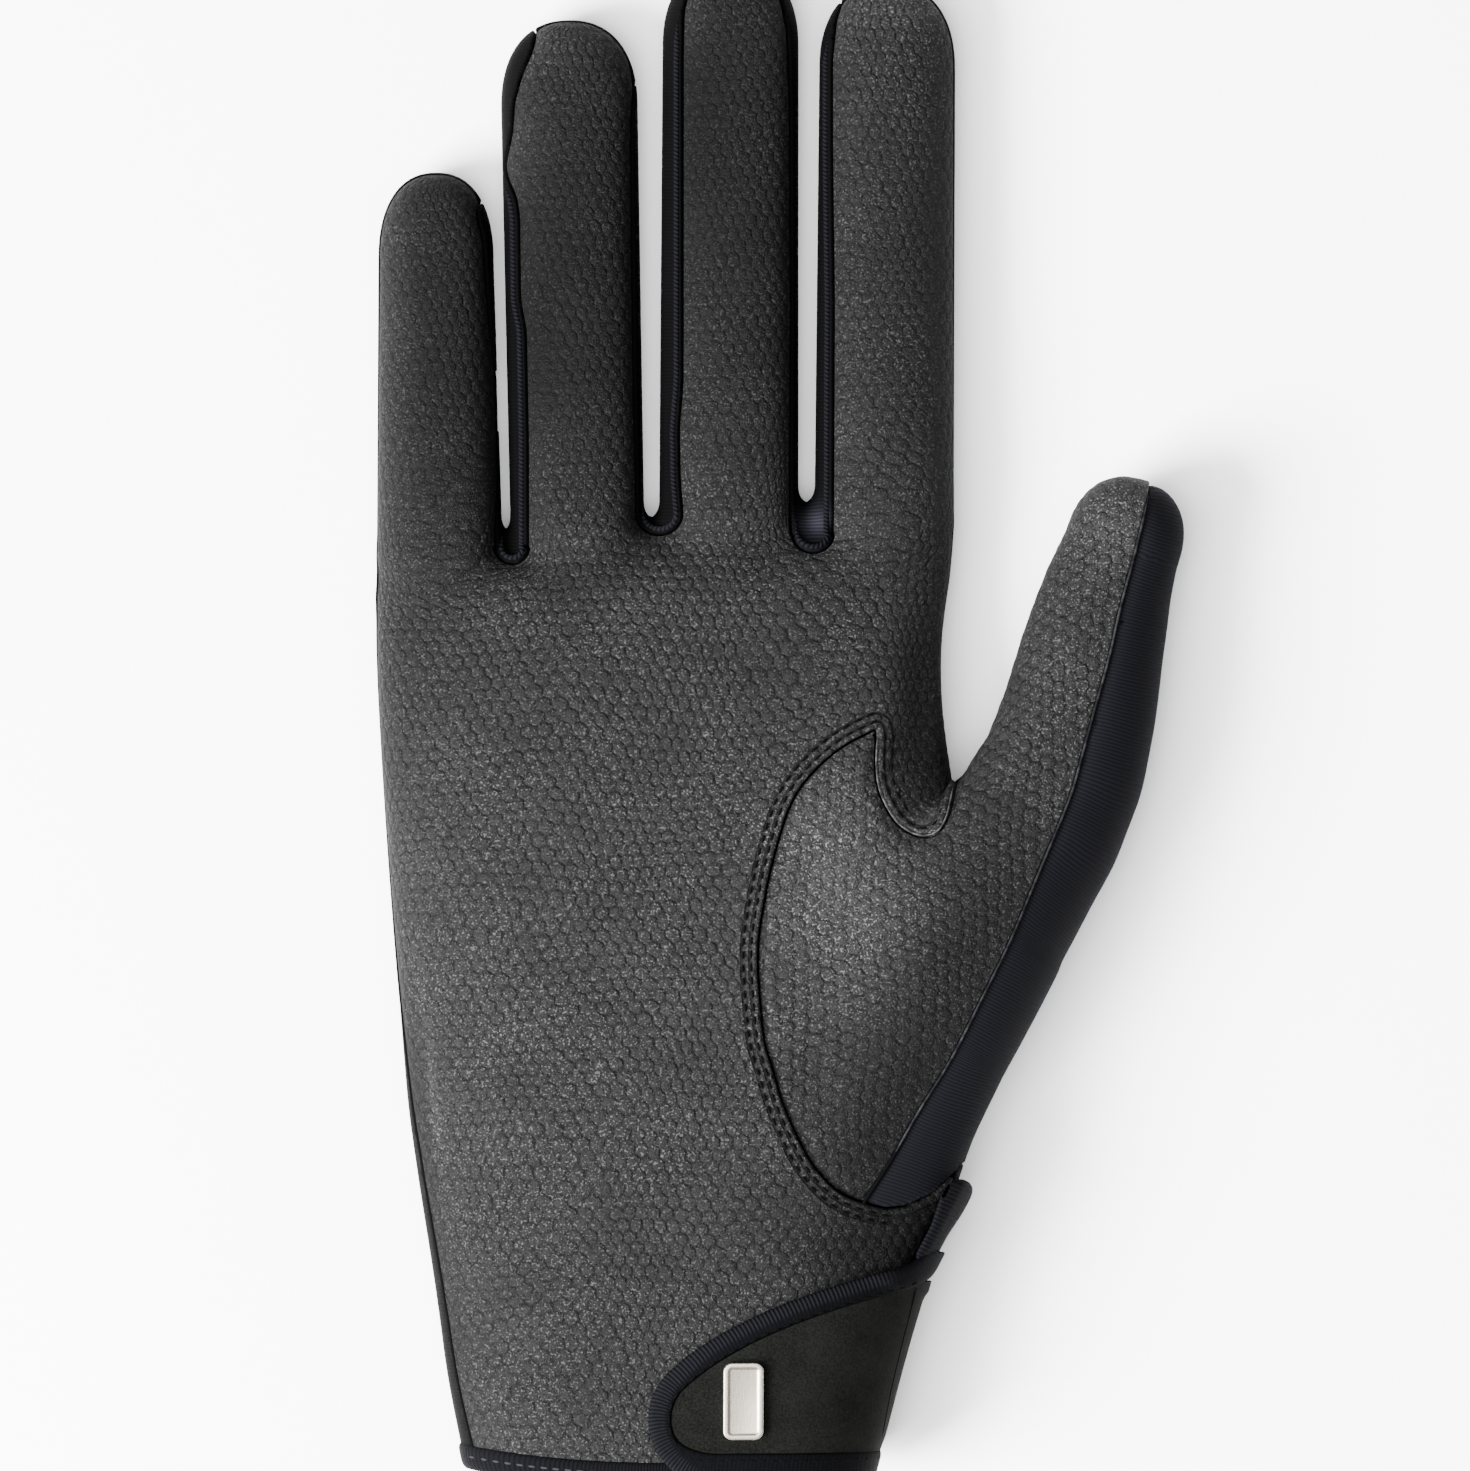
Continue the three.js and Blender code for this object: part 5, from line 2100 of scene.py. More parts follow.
@dataclass(frozen=True)
class SatinPlate:
    """Satin cast metal of the plate."""

    name: str = "satin plate metal"
    base: str = "#a29a8f"
    shade: str = "#79736a"

    def make(self) -> bpy.types.Material:
        """Builds the material.

        Returns:
            The material.
        """
        # cast and brushed metal: a broad soft highlight across the brushing
        n = Nodes(self.name)
        place = n.add("TexCoord").outputs["Object"]
        stretched = n.add("Mapping", Vector=place, Scale=(4200.0, 350.0, 4200.0)).outputs[0]
        brush = n.add("TexNoise", Vector=stretched, Scale=1.0, Detail=2.0).outputs[0]
        smear = n.add("TexNoise", Vector=place, Scale=240.0, Detail=2.0).outputs[0]
        colour = n.add(
            "Mix", COLOURS, n.add("Math", "MULTIPLY", smear, 0.6), in_6=srgb(self.base), in_7=srgb(self.shade)
        ).outputs[2]
        rough = n.add("MapRange", Value=brush, To_Min=0.26, To_Max=0.44).outputs[0]
        bump = n.add("Bump", Height=brush, Strength=0.25, Distance=0.00003).outputs[0]
        shader = n.add(
            "BsdfPrincipled", Base_Color=colour, Roughness=rough, Metallic=1.0, Normal=bump
        )
        return n.finish(shader)


# Pieces that lie on the hand


def seat_piece(made: bpy.types.Object, finish: bpy.types.Material, nodes: Sequence[str]) -> None:
    """Gives a piece its material and its place in the frame.

    Args:
        made: The piece.
        finish: Its material.
        nodes: The CAD nodes that it stands for.
    """
    made.data.materials.clear()
    made.data.materials.append(finish)
    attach(made, "root")
    if nodes:
        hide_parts(*nodes)
    LOG.info("%s: %d points, %d faces", made.name, len(made.data.vertices), len(made.data.polygons))


def polygon_distance(x: Array, y: Array, polygon: Array) -> Array:
    """Signed distance to a polygon in the XY plane, negative inside."""
    distance, _, _ = line_distance(x, y, polygon, closed=True)
    return np.where(inside_polygon(x, y, polygon), -distance, distance)


class MappedOutline:
    """A closed outline whose distance is read from a fine map, so that solids are quick to fill."""

    CELL = 0.25

    def __init__(self, polygon: Array, low: tuple[float, float], high: tuple[float, float]) -> None:
        """Makes the map.

        Args:
            polygon: The outline's points.
            low: Lowest corner of the mapped area.
            high: Its highest corner.
        """
        self.polygon = polygon
        self.x = np.arange(low[0], high[0] + self.CELL, self.CELL)
        self.y = np.arange(low[1], high[1] + self.CELL, self.CELL)
        grid_x, grid_y = np.meshgrid(self.x, self.y, indexing="ij")
        self.map = polygon_distance(grid_x.ravel(), grid_y.ravel(), polygon).reshape(grid_x.shape)

    def distance(self, x: Array, y: Array) -> Array:
        """Reads the signed distance.

        Args:
            x: Places across.
            y: Places along.

        Returns:
            The distance, negative inside.
        """
        x, y = np.broadcast_arrays(x, y)
        col = np.clip((x - self.x[0]) / self.CELL, 0.0, len(self.x) - 1.001)
        row = np.clip((y - self.y[0]) / self.CELL, 0.0, len(self.y) - 1.001)
        i, j = col.astype(int), row.astype(int)
        a, b = col - i, row - j
        low = self.map[i, j] * (1 - a) + self.map[i + 1, j] * a
        high = self.map[i, j + 1] * (1 - a) + self.map[i + 1, j + 1] * a
        return low * (1 - b) + high * b


class Strap:
    """The closure strap: its cloth, the binding round it and the fastener under it."""

    END_RADIUS = 10.5
    REACH = 40.5
    HEIGHT = 35.0
    RISE = 2.0
    SHOULDER = (0.33, 1.7)
    TAB_RISE = ((914, 1259), (927, 1248), (936, 1234))
    BINDING_WIDTH = 3.9
    HEM = 1.7
    BINDING_THICKNESS = 2.2
    THICKNESS = 1.4
    BASE = 1.2
    FOOT_Z = 6.6
    FASTENER = 0.6
    FASTENER_MARGIN = 3.0

    def __init__(self, hand: HandForm, placing: Placing) -> None:
        """Lays out the strap.

        Args:
            hand: The hand that it lies on.
            placing: How to reach the frame.
        """
        self.hand = hand
        self.placing = placing
        self.middle = self.BASE + self.THICKNESS / 2
        self.outline = MappedOutline(self._outline(), (-8.0, -6.0), (56.0, 42.0))

    def _outline(self) -> Array:
        """The outer edge of the binding, seen from above.

        Returns:
            Its points.
        """
        right = 0.458 * PALM_WIDTH + FINGER_WIDTH / 2 + 6.0
        side = 0.425 * PALM_WIDTH
        radius = self.END_RADIUS
        centre = np.array([side - self.REACH + radius, SEAM_GAP + radius])
        turn = np.radians(np.linspace(-90.0, -225.0, 40))
        arc = centre + radius * np.stack([np.cos(turn), np.sin(turn)], axis=1)
        control = centre + radius * np.array(self.SHOULDER)
        end = np.array([side, self.HEIGHT])
        t = np.linspace(0.0, 1.0, 30)[1:, None]
        flank = (1 - t) ** 2 * arc[-1] + 2 * t * (1 - t) * control + t**2 * end
        rise = hand_line(self.TAB_RISE)
        last = np.array([[right, rise[-1, 1] + self.RISE], [right, SEAM_GAP]])
        last = np.vstack([fine_line(np.vstack([end, rise]), 0.6), last])
        return np.vstack([arc, flank, last])

    def inset_line(self, depth: float) -> Array:
        """A line inside the outline.

        Args:
            depth: How far inside.

        Returns:
            Its points, from the cuff's side round the free end to the thumb's side.
        """
        line = fine_line(self.outline.polygon[:-2], 0.5)
        way = np.gradient(line, axis=0)
        way /= np.linalg.norm(way, axis=1)[:, None]
        return line + np.stack([way[:, 1], -way[:, 0]], axis=1) * depth

    def over(self, x: Array, y: Array, z: Array) -> Array:
        """Height over the hand."""
        return self.hand.wrist(x, y, z)

    def width(self, x: Array, y: Array) -> Array:
        """Width of the binding, which is broader along the cuff."""
        return self.BINDING_WIDTH + self.HEM * (1.0 - ramp(y, 4.0, 10.0)) * ramp(x, 0.0, 7.0)

    def cloth_form(self, x: Array, y: Array, z: Array) -> Array:
        """Distance to the strap's cloth.

        Args:
            x: Places across.
            y: Places along.
            z: Places up.

        Returns:
            The distance, negative inside.
        """
        inset = self.width(x, y) - 1.0
        edge = self.outline.distance(x, y) + inset
        crown = 0.25 * ramp(-edge, 0.0, 5.0)
        layer = np.abs(self.over(x, y, z) - self.middle - crown / 2) - self.THICKNESS / 2 - crown / 2
        return smooth_max(smooth_max(layer, edge + 0.0 * layer, 0.5), self.FOOT_Z - z + 0.0 * layer, 0.5)

    def binding_form(self, x: Array, y: Array, z: Array) -> Array:
        """Distance to the binding.

        Args:
            x: Places across.
            y: Places along.
            z: Places up.

        Returns:
            The distance, negative inside.
        """
        half = self.width(x, y) / 2
        across = np.abs(self.outline.distance(x, y) + half) / half
        up = np.abs(self.over(x, y, z) - self.middle) / (self.BINDING_THICKNESS / 2)
        norm = tape_norm(across, up)
        return smooth_max((norm - 1.0) * self.BINDING_THICKNESS / 2, self.FOOT_Z - z + 0.0 * norm, 0.5)

    def fastener_form(self, x: Array, y: Array, z: Array) -> Array:
        """Distance to the fastener under the strap.

        Args:
            x: Places across.
            y: Places along.
            z: Places up.

        Returns:
            The distance, negative inside.
        """
        edge = self.outline.distance(x, y) + self.BINDING_WIDTH + SEAM_GAP + self.FASTENER_MARGIN
        layer = np.abs(self.over(x, y, z) - SEAM_GAP - self.FASTENER / 2) - self.FASTENER / 2
        sides = np.maximum(x - 0.75 * 0.368 * PALM_WIDTH, CUFF_HEIGHT + CUFF_BOW - y)
        return smooth_max(smooth_max(layer, edge + 0.0 * layer, 0.3), sides + 0.0 * layer, 0.3)

    def along(self, points: Array) -> Array:
        """Tape coordinates on the binding.

        Args:
            points: Places on it.

        Returns:
            Length along the outline, and the distance outwards from the tape's middle.
        """
        x, y, z = points.T
        _, _, mark = line_distance(x, y, self.outline.polygon, closed=True)
        return np.stack([mark, self.outline.distance(x, y) + self.BINDING_WIDTH / 2], axis=1)

    def marks(self, points: Array) -> dict[str, Array]:
        """Where the binding's ribs show, and the painted shade along its sewn inner edge.

        Args:
            points: Places on it.

        Returns:
            The two point attributes.
        """
        x, y, _ = points.T
        inside = -self.outline.distance(x, y)
        smooth_end = ramp(x, 36.0, 39.0) * ramp(y, 18.0, 26.0)
        hem = (1.0 - ramp(y, 2.5, 8.0)) * ramp(x, 3.0, 8.0)
        reach = 2.1 + 0.9 * (1.0 - ramp(x, 0.0, 10.0))
        ribs = (1.0 - ramp(inside, reach - 0.5, reach + 0.4)) * (1.0 - smooth_end) * (1.0 - hem)
        return {"ribs": ribs, "fold": ramp(inside, self.width(x, y) - 0.75, self.width(x, y) - 0.35)}

    def make(self, finishes: dict[str, bpy.types.Material]) -> None:
        """Builds the three pieces.

        Args:
            finishes: Materials by slot.
        """
        rough = 1.0
        jobs = (
            ("strap_cloth", "closure_strap", "strap_suede", self.cloth_form, 0.42, None),
            ("strap_binding_tape", "strap_binding", "elastic_tape", self.binding_form, 0.36, self.along),
            ("fastener_tape", "hook_loop_patch", "hook_tape", self.fastener_form, 0.4, None),
        )
        for name, node, slot, form, step, mapping in jobs:
            low, high = self.placing.box(node, 1.2)
            skin = net_of(form, low, high, step * rough)
            cloth = mapping(skin.points) if mapping else skin.points[:, :2]
            marks = self.marks(skin.points) if mapping else None
            made = mesh_object(name, self.placing.metres(skin.points), skin.faces, cloth, marks)
            seat_piece(made, finishes[slot], [node])


class CuffBinding:
    """The elastic tape folded round the edge of the cuff."""

    PROUD = 0.5

    def __init__(self, hand: HandForm, placing: Placing) -> None:
        """Keeps the hand."""
        self.hand = hand
        self.placing = placing

    @staticmethod
    def up_cuff(x: Array, y: Array) -> Array:
        """Distance up the hand from the cuff's edge."""
        return y - cuff_bow(x)

    def form(self, x: Array, y: Array, z: Array) -> Array:
        """Distance to the tape.

        Args:
            x: Places across.
            y: Places along.
            z: Places up.

        Returns:
            The distance, negative inside.
        """
        over = self.hand.palm.distance(x, y, z)
        across = np.abs(self.up_cuff(x, y) - CUFF_HEIGHT / 2) / (CUFF_HEIGHT / 2)
        half = WALL / 2 + self.PROUD
        up = np.abs(over + WALL / 2) / half
        norm = tape_norm(across, up)
        return smooth_max((norm - 1.0) * half, 0.02 - z + 0.0 * norm, 0.4)

    def make(self, finish: bpy.types.Material) -> None:
        """Builds the tape.

        Args:
            finish: Its material.
        """
        low, high = self.placing.box("cuff_binding", 1.0)
        skin = net_of(self.form, low, high, 0.42 * (1.0))
        x, y, z = skin.points.T
        palm_middle = 0.3
        angle = np.arctan2(z - 13.0, x - palm_middle)
        round_it = angle * 24.0
        cloth = np.stack([round_it, self.up_cuff(x, y) - CUFF_HEIGHT / 2], axis=1)
        # painted shade: the tape is darkened along its upper edge, where it meets the panels
        fold = ramp(self.up_cuff(x, y), CUFF_HEIGHT - 0.2, CUFF_HEIGHT)
        marks = {"ribs": np.full(len(x), 0.25), "fold": fold}
        made = mesh_object("cuff_tape", self.placing.metres(skin.points), skin.faces, cloth, marks)
        seat_piece(made, finish, ["cuff_binding"])


class PullTab:
    """The small folded loop of tape at the thumb end of the strap."""

    WIDTH = 5.0
    LENGTH = 15.2
    THICKNESS = 2.5
    TURN = 62.0
    TOP = (958.3, 1193.6)  # middle of its round upper end in the photograph

    def __init__(self, hand: HandForm, placing: Placing) -> None:
        """Keeps the hand.

        Args:
            hand: The hand's form.
            placing: How to reach the frame.
        """
        self.hand = hand
        self.placing = placing
        angle = math.radians(self.TURN)
        self.way = np.array([math.cos(angle), math.sin(angle)])
        self.tip = np.array(hand_point(*self.TOP)) + self.way * self.WIDTH / 2

    def local(self, x: Array, y: Array) -> tuple[Array, Array]:
        """Where a point lies along and across the loop."""
        dx, dy = x - self.tip[0], y - self.tip[1]
        return dx * self.way[0] + dy * self.way[1], dx * self.way[1] - dy * self.way[0]

    def form(self, x: Array, y: Array, z: Array) -> Array:
        """Distance to the loop.

        Args:
            x: Places across.
            y: Places along.
            z: Places up.

        Returns:
            The distance, negative inside.
        """
        along, across = self.local(x, y)
        # it narrows to where the strap's binding takes it in
        half = self.WIDTH / 2 * (0.66 + 0.34 * ramp(along, -10.0, -3.0))
        beyond = np.maximum(np.maximum(along + half, -(along + self.LENGTH - half)), 0.0)
        plan = np.hypot(across, beyond) - half
        over = self.hand.wrist(x, y, z)
        middle = SEAM_GAP + self.THICKNESS / 2
        # the fold stands up as a ridge along the loop's middle
        ridge = 0.45 * hump(across, 1.0) * ramp(along, -self.LENGTH, -self.LENGTH + 3.0)
        layer = np.abs(over - middle - ridge / 2) - self.THICKNESS / 2 + 0.25 - ridge / 2
        body = smooth_max(layer, plan + 0.0 * layer, 0.9)
        return smooth_max(body, 14.2 - z + 0.0 * layer, 0.5)

    def make(self, finish: bpy.types.Material) -> None:
        """Builds the loop.

        Args:
            finish: Its material.
        """
        low, high = self.placing.box("pull_tab", 1.5)
        skin = net_of(self.form, low, high, 0.3 * (1.0))
        along, across = self.local(skin.points[:, 0], skin.points[:, 1])
        cloth = np.stack([along, across], axis=1)
        # painted shade: a dark line in the colour beside the loop's middle ridge
        marks = {"ribs": np.full(len(along), 0.7), "fold": hump(across - 0.9, 0.35)}
        made = mesh_object("pull_tab_loop", self.placing.metres(skin.points), skin.faces, cloth, marks)
        seat_piece(made, finish, ["pull_tab"])


class Plate:
    """The small plain metal plate on the strap."""

    WIDTH = 6.4
    LENGTH = 12.3
    SHIFT = (-0.6, 0.9, 0.0)
    THICKNESS = 1.2
    CORNER = 1.4

    def make(self, finish: bpy.types.Material) -> None:
        """Builds the plate where the frame has it, and tilted as the strap is there.

        Args:
            finish: Its material.
        """
        low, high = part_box("badge")
        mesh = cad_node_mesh("badge")
        top = flattest_normal(mesh)
        deselect()
        bpy.ops.mesh.primitive_cube_add(size=1.0, location=(0.0, 0.0, 0.0))
        made = bpy.context.object
        made.name = "plain_plate"
        bpy.ops.transform.resize(
            value=(self.WIDTH / 1000, self.LENGTH / 1000, self.THICKNESS / 1000),
            center_override=(0.0, 0.0, 0.0),
        )
        bpy.ops.object.transform_apply(location=True, rotation=True, scale=True)
        bpy.ops.object.mode_set(mode="EDIT")
        bpy.ops.mesh.select_mode(type="EDGE")
        bpy.ops.mesh.select_all(action="DESELECT")
        bpy.ops.object.mode_set(mode="OBJECT")
        for edge in made.data.edges:
            a, b = (made.data.vertices[i].co for i in edge.vertices)
            edge.select = abs(a.z - b.z) > 1e-6
        bpy.ops.object.mode_set(mode="EDIT")
        bpy.ops.mesh.bevel(offset=self.CORNER / 1000, segments=8, affect="EDGES")
        bpy.ops.mesh.select_mode(type="FACE")
        bpy.ops.mesh.select_all(action="DESELECT")
        bpy.ops.object.mode_set(mode="OBJECT")
        for face in made.data.polygons:
            face.select = face.normal.z > 0.9
        bpy.ops.object.mode_set(mode="EDIT")
        # a raised rim round a shallow plain field
        bpy.ops.mesh.inset(thickness=0.75 / 1000)
        bpy.ops.mesh.inset(thickness=0.22 / 1000, depth=-0.2 / 1000)
        bpy.ops.object.mode_set(mode="OBJECT")
        soften = made.modifiers.new("soft edges", "BEVEL")
        soften.width = 0.16 / 1000
        soften.segments = 3
        soften.limit_method = "ANGLE"
        soften.angle_limit = math.radians(28.0)
        bpy.ops.object.modifier_apply(modifier=soften.name)
        bpy.ops.object.shade_smooth_by_angle(angle=math.radians(35.0))
        turn = Vector((0.0, 0.0, 1.0)).rotation_difference(top).to_matrix().to_4x4()
        made.data.transform(turn)
        made.data.transform(matrix_at((low + high) / 2 + Vector(self.SHIFT) / 1000))
        seat_piece(made, finish, ["badge"])


def deselect() -> None:
    """Clears the selection before a modelling call."""
    for other in bpy.context.selected_objects:
        other.select_set(False)


def matrix_at(place: Vector) -> Matrix:
    """A move to a place."""
    return Matrix.Translation(place)


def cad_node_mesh(node: str) -> bpy.types.Mesh:
    """The frame's mesh of a CAD node."""
    return FRAME["nodes"][node].data


def flattest_normal(mesh: bpy.types.Mesh) -> Vector:
    """The direction in which a flat plate faces upwards.

    Args:
        mesh: The plate.

    Returns:
        Its top face's normal.
    """
    total = Vector((0.0, 0.0, 0.0))
    for face in mesh.polygons:
        if face.normal.z > 0.7:
            total += face.normal * face.area
    return total.normalized()


# Sewing


class Sewing:
    """Thread stitches and cut edges that follow the hand's surface."""

    def __init__(self, hand: HandForm, placing: Placing) -> None:
        """Models the one stitch that every row repeats.

        Args:
            hand: The hand that carries the rows.
            placing: How to reach the frame.
        """
        self.hand = hand
        self.placing = placing
        deselect()
        bpy.ops.mesh.primitive_uv_sphere_add(segments=10, ring_count=8, radius=0.5, location=(0.0, 0.0, 0.0))
        stitch = bpy.context.object
        mesh = stitch.data
        points = np.array([v.co[:] for v in mesh.vertices])
        # a sphere drawn out into a capsule along X
        points = points[:, [2, 0, 1]]
        points[:, 0] = np.sign(points[:, 0]) * np.abs(2 * points[:, 0]) ** 0.75 / 2
        self.stitch_points = points
        self.stitch_faces = [tuple(reversed(p.vertices)) for p in mesh.polygons]
        bpy.data.objects.remove(stitch)

    def onto(self, plan: Array, height: float, form: Field | None = None) -> tuple[Array, Array]:
        """Drops places seen from above onto the hand.

        Args:
            plan: X and Y of each.
            height: How far over the surface they end.
            form: Another surface to drop them onto.

        Returns:
            The places and the surface normals there.
        """
        form = form or self.hand.distance
        x, y = plan.T
        low = np.full(len(x), 8.0)
        high = np.full(len(x), 45.0)
        for _ in range(26):
            middle = (low + high) / 2
            outside = form(x, y, middle) > height
            high = np.where(outside, middle, high)
            low = np.where(outside, low, middle)
        points = np.stack([x, y, high], axis=1)
        slope = slope_of(form, points)
        return points, slope / np.linalg.norm(slope, axis=1)[:, None]

    @staticmethod
    def beside(line: Array, distance: float) -> Array:
        """Moves a line sideways.

        Args:
            line: Its points.
            distance: How far to the left of its direction.

        Returns:
            The moved line.
        """
        way = np.gradient(line, axis=0)
        way /= np.linalg.norm(way, axis=1)[:, None]
        return line + np.stack([-way[:, 1], way[:, 0]], axis=1) * distance

    def row(
        self,
        name: str,
        lines: Sequence[Array],
        pitch: float,
        size: tuple[float, float, float],
        height: float,
        finish: bpy.types.Material,
        slot: str,
        form: Field | None = None,
    ) -> None:
        """Sews rows of stitches.

        Args:
            name: The piece's name.
            lines: The rows seen from above.
            pitch: From stitch to stitch.
            size: Length, width and thickness of a stitch.
            height: Height of its middle over the surface.
            finish: The thread.
            slot: The record's material slot; not used.
            form: The surface that carries it, if not the hand.
        """
        points, faces = [], []
        count = 0
        for line in lines:
            marks = fine_line(line, pitch)
            places, normals = self.onto(marks, height, form)
            way = np.gradient(places, axis=0)
            way /= np.linalg.norm(way, axis=1)[:, None]
            side = np.cross(normals, way)
            for place, along, across, up in zip(places, way, side, normals):
                local = self.stitch_points * size
                points.append(place + local[:, :1] * along + local[:, 1:2] * across + local[:, 2:] * up)
                faces.extend(tuple(i + count for i in face) for face in self.stitch_faces)
                count += len(local)
        made = mesh_object(name, self.placing.metres(np.vstack(points)), faces, None)
        seat_piece(made, finish, [])

    def flank(self, side: Curve, low: float, high: float) -> Array:
        """Places along the seam between palm and back, on the little finger's side.

        Args:
            side: Height of the seam along the hand.
            low: Where it starts.
            high: Where it ends.

        Returns:
            The places.
        """
        y = np.arange(low, high, 0.5)
        z = side(y)
        outside = np.full(len(y), -70.0)
        inside = np.where(y < 100.0, -20.0, FINGERS[0].centre(y))
        for _ in range(26):
            middle = (outside + inside) / 2
            free = self.hand.distance(middle, y, z) > 0.0
            outside = np.where(free, middle, outside)
            inside = np.where(free, inside, middle)
        return np.stack([inside, y, z], axis=1)

    def cord(
        self,
        name: str,
        lines: Sequence[Array],
        radius: float,
        height: float,
        finish: bpy.types.Material,
        form: Field | None = None,
    ) -> None:
        """Lays a thin cut edge, bead or seam along a line.

        Args:
            name: The piece's name.
            lines: The lines, either seen from above or as places in space.
            radius: The bead's radius.
            height: Height of its middle over the surface.
            finish: Its material.
            form: The surface that carries it, if not the hand.
        """
        points, faces, cloth = [], [], []
        count = 0
        sides = 8
        for line in lines:
            if line.shape[1] == 2:
                places, normals = self.onto(fine_line(line, 0.5), height, form)
            else:
                slope = slope_of(form or self.hand.distance, line)
                normals = slope / np.linalg.norm(slope, axis=1)[:, None]
                places = line + normals * height
            way = np.gradient(places, axis=0)
            way /= np.linalg.norm(way, axis=1)[:, None]
            across = np.cross(way, normals)
            along = np.linspace(0.0, 1.0, len(places))
            thin = radius * np.clip(np.minimum(along, 1 - along) * 30.0, 0.25, 1.0)
            for k in range(sides):
                angle = 2 * math.pi * k / sides
                points.append(places + (across * math.cos(angle) + normals * math.sin(angle)) * thin[:, None])
                # the ribs of a piping lean, so the tape's length shifts round it
                length = 0.5 * np.arange(len(places)) + 0.35 * math.cos(angle)
                cloth.append(np.stack([length, np.full(len(places), radius * angle)], axis=1))
            total = len(places)
            for i in range(total - 1):
                for k in range(sides):
                    a, b = count + k * total + i, count + ((k + 1) % sides) * total + i
                    faces.append((a, b, b + 1, a + 1))
            faces.append(tuple(count + k * total for k in reversed(range(sides))))
            faces.append(tuple(count + k * total + total - 1 for k in range(sides)))
            count += sides * total
        every = np.vstack(points)
        marks = {"ribs": np.ones(len(every)), "fold": np.zeros(len(every))}
        made = mesh_object(name, self.placing.metres(every), faces, np.vstack(cloth), marks)
        seat_piece(made, finish, [])


def set_camera(placing: Placing) -> None:
    """Looks straight down, as the photograph does, with a long lens.

    Args:
        placing: How to reach the frame.
    """
    wide = 1471 * PIXEL / 1000
    distance = 4.0
    data = bpy.data.cameras.new("camera")
    data.type = "PERSP"
    data.sensor_width = 36.0
    data.lens = 36.0 * distance / wide
    data.clip_start, data.clip_end = 0.1, 20.0
    camera = bpy.data.objects.new("camera", data)
    bpy.context.collection.objects.link(camera)
    middle = placing.metres(np.array([*hand_point(735.0, 735.5), 14.0]))
    camera.location = Vector(middle) + Vector((0.0, 0.0, distance))
    bpy.context.scene.camera = camera


def set_studio() -> None:
    """Makes the pale floor and soft light, mostly from the left."""
    size = 3.0
    mesh = bpy.data.meshes.new("floor")
    mesh.from_pydata(
        [(-size, -size, 0), (size, -size, 0), (size, size, 0), (-size, size, 0)], [], [(0, 1, 2, 3)]
    )
    floor = bpy.data.objects.new("floor", mesh)
    floor.location.z = -0.0004
    bpy.context.collection.objects.link(floor)
    n = Nodes("white studio floor")
    shader = n.add("BsdfPrincipled", Base_Color=srgb("#ffffff"), Roughness=1.0)
    mesh.materials.append(n.finish(shader))
    floor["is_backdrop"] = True
    world = bpy.data.worlds.new("studio air")
    world.use_nodes = True
    world.node_tree.nodes["Background"].inputs[0].default_value = (1.0, 1.0, 1.0, 1.0)
    world.node_tree.nodes["Background"].inputs[1].default_value = 0.75
    bpy.context.scene.world = world
    for name, place, power, wide in (
        ("key", (-0.95, -0.45, 0.85), 200.0, 0.7),
        ("top", (-0.3, -0.1, 1.5), 66.0, 1.2),
    ):
        data = bpy.data.lights.new(name, "AREA")
        data.energy = power
        data.size = wide
        lamp = bpy.data.objects.new(name, data)
        lamp.location = place
        lamp.rotation_mode = "QUATERNION"
        lamp.rotation_quaternion = (Vector(place)).to_track_quat("Z", "Y")
        bpy.context.collection.objects.link(lamp)


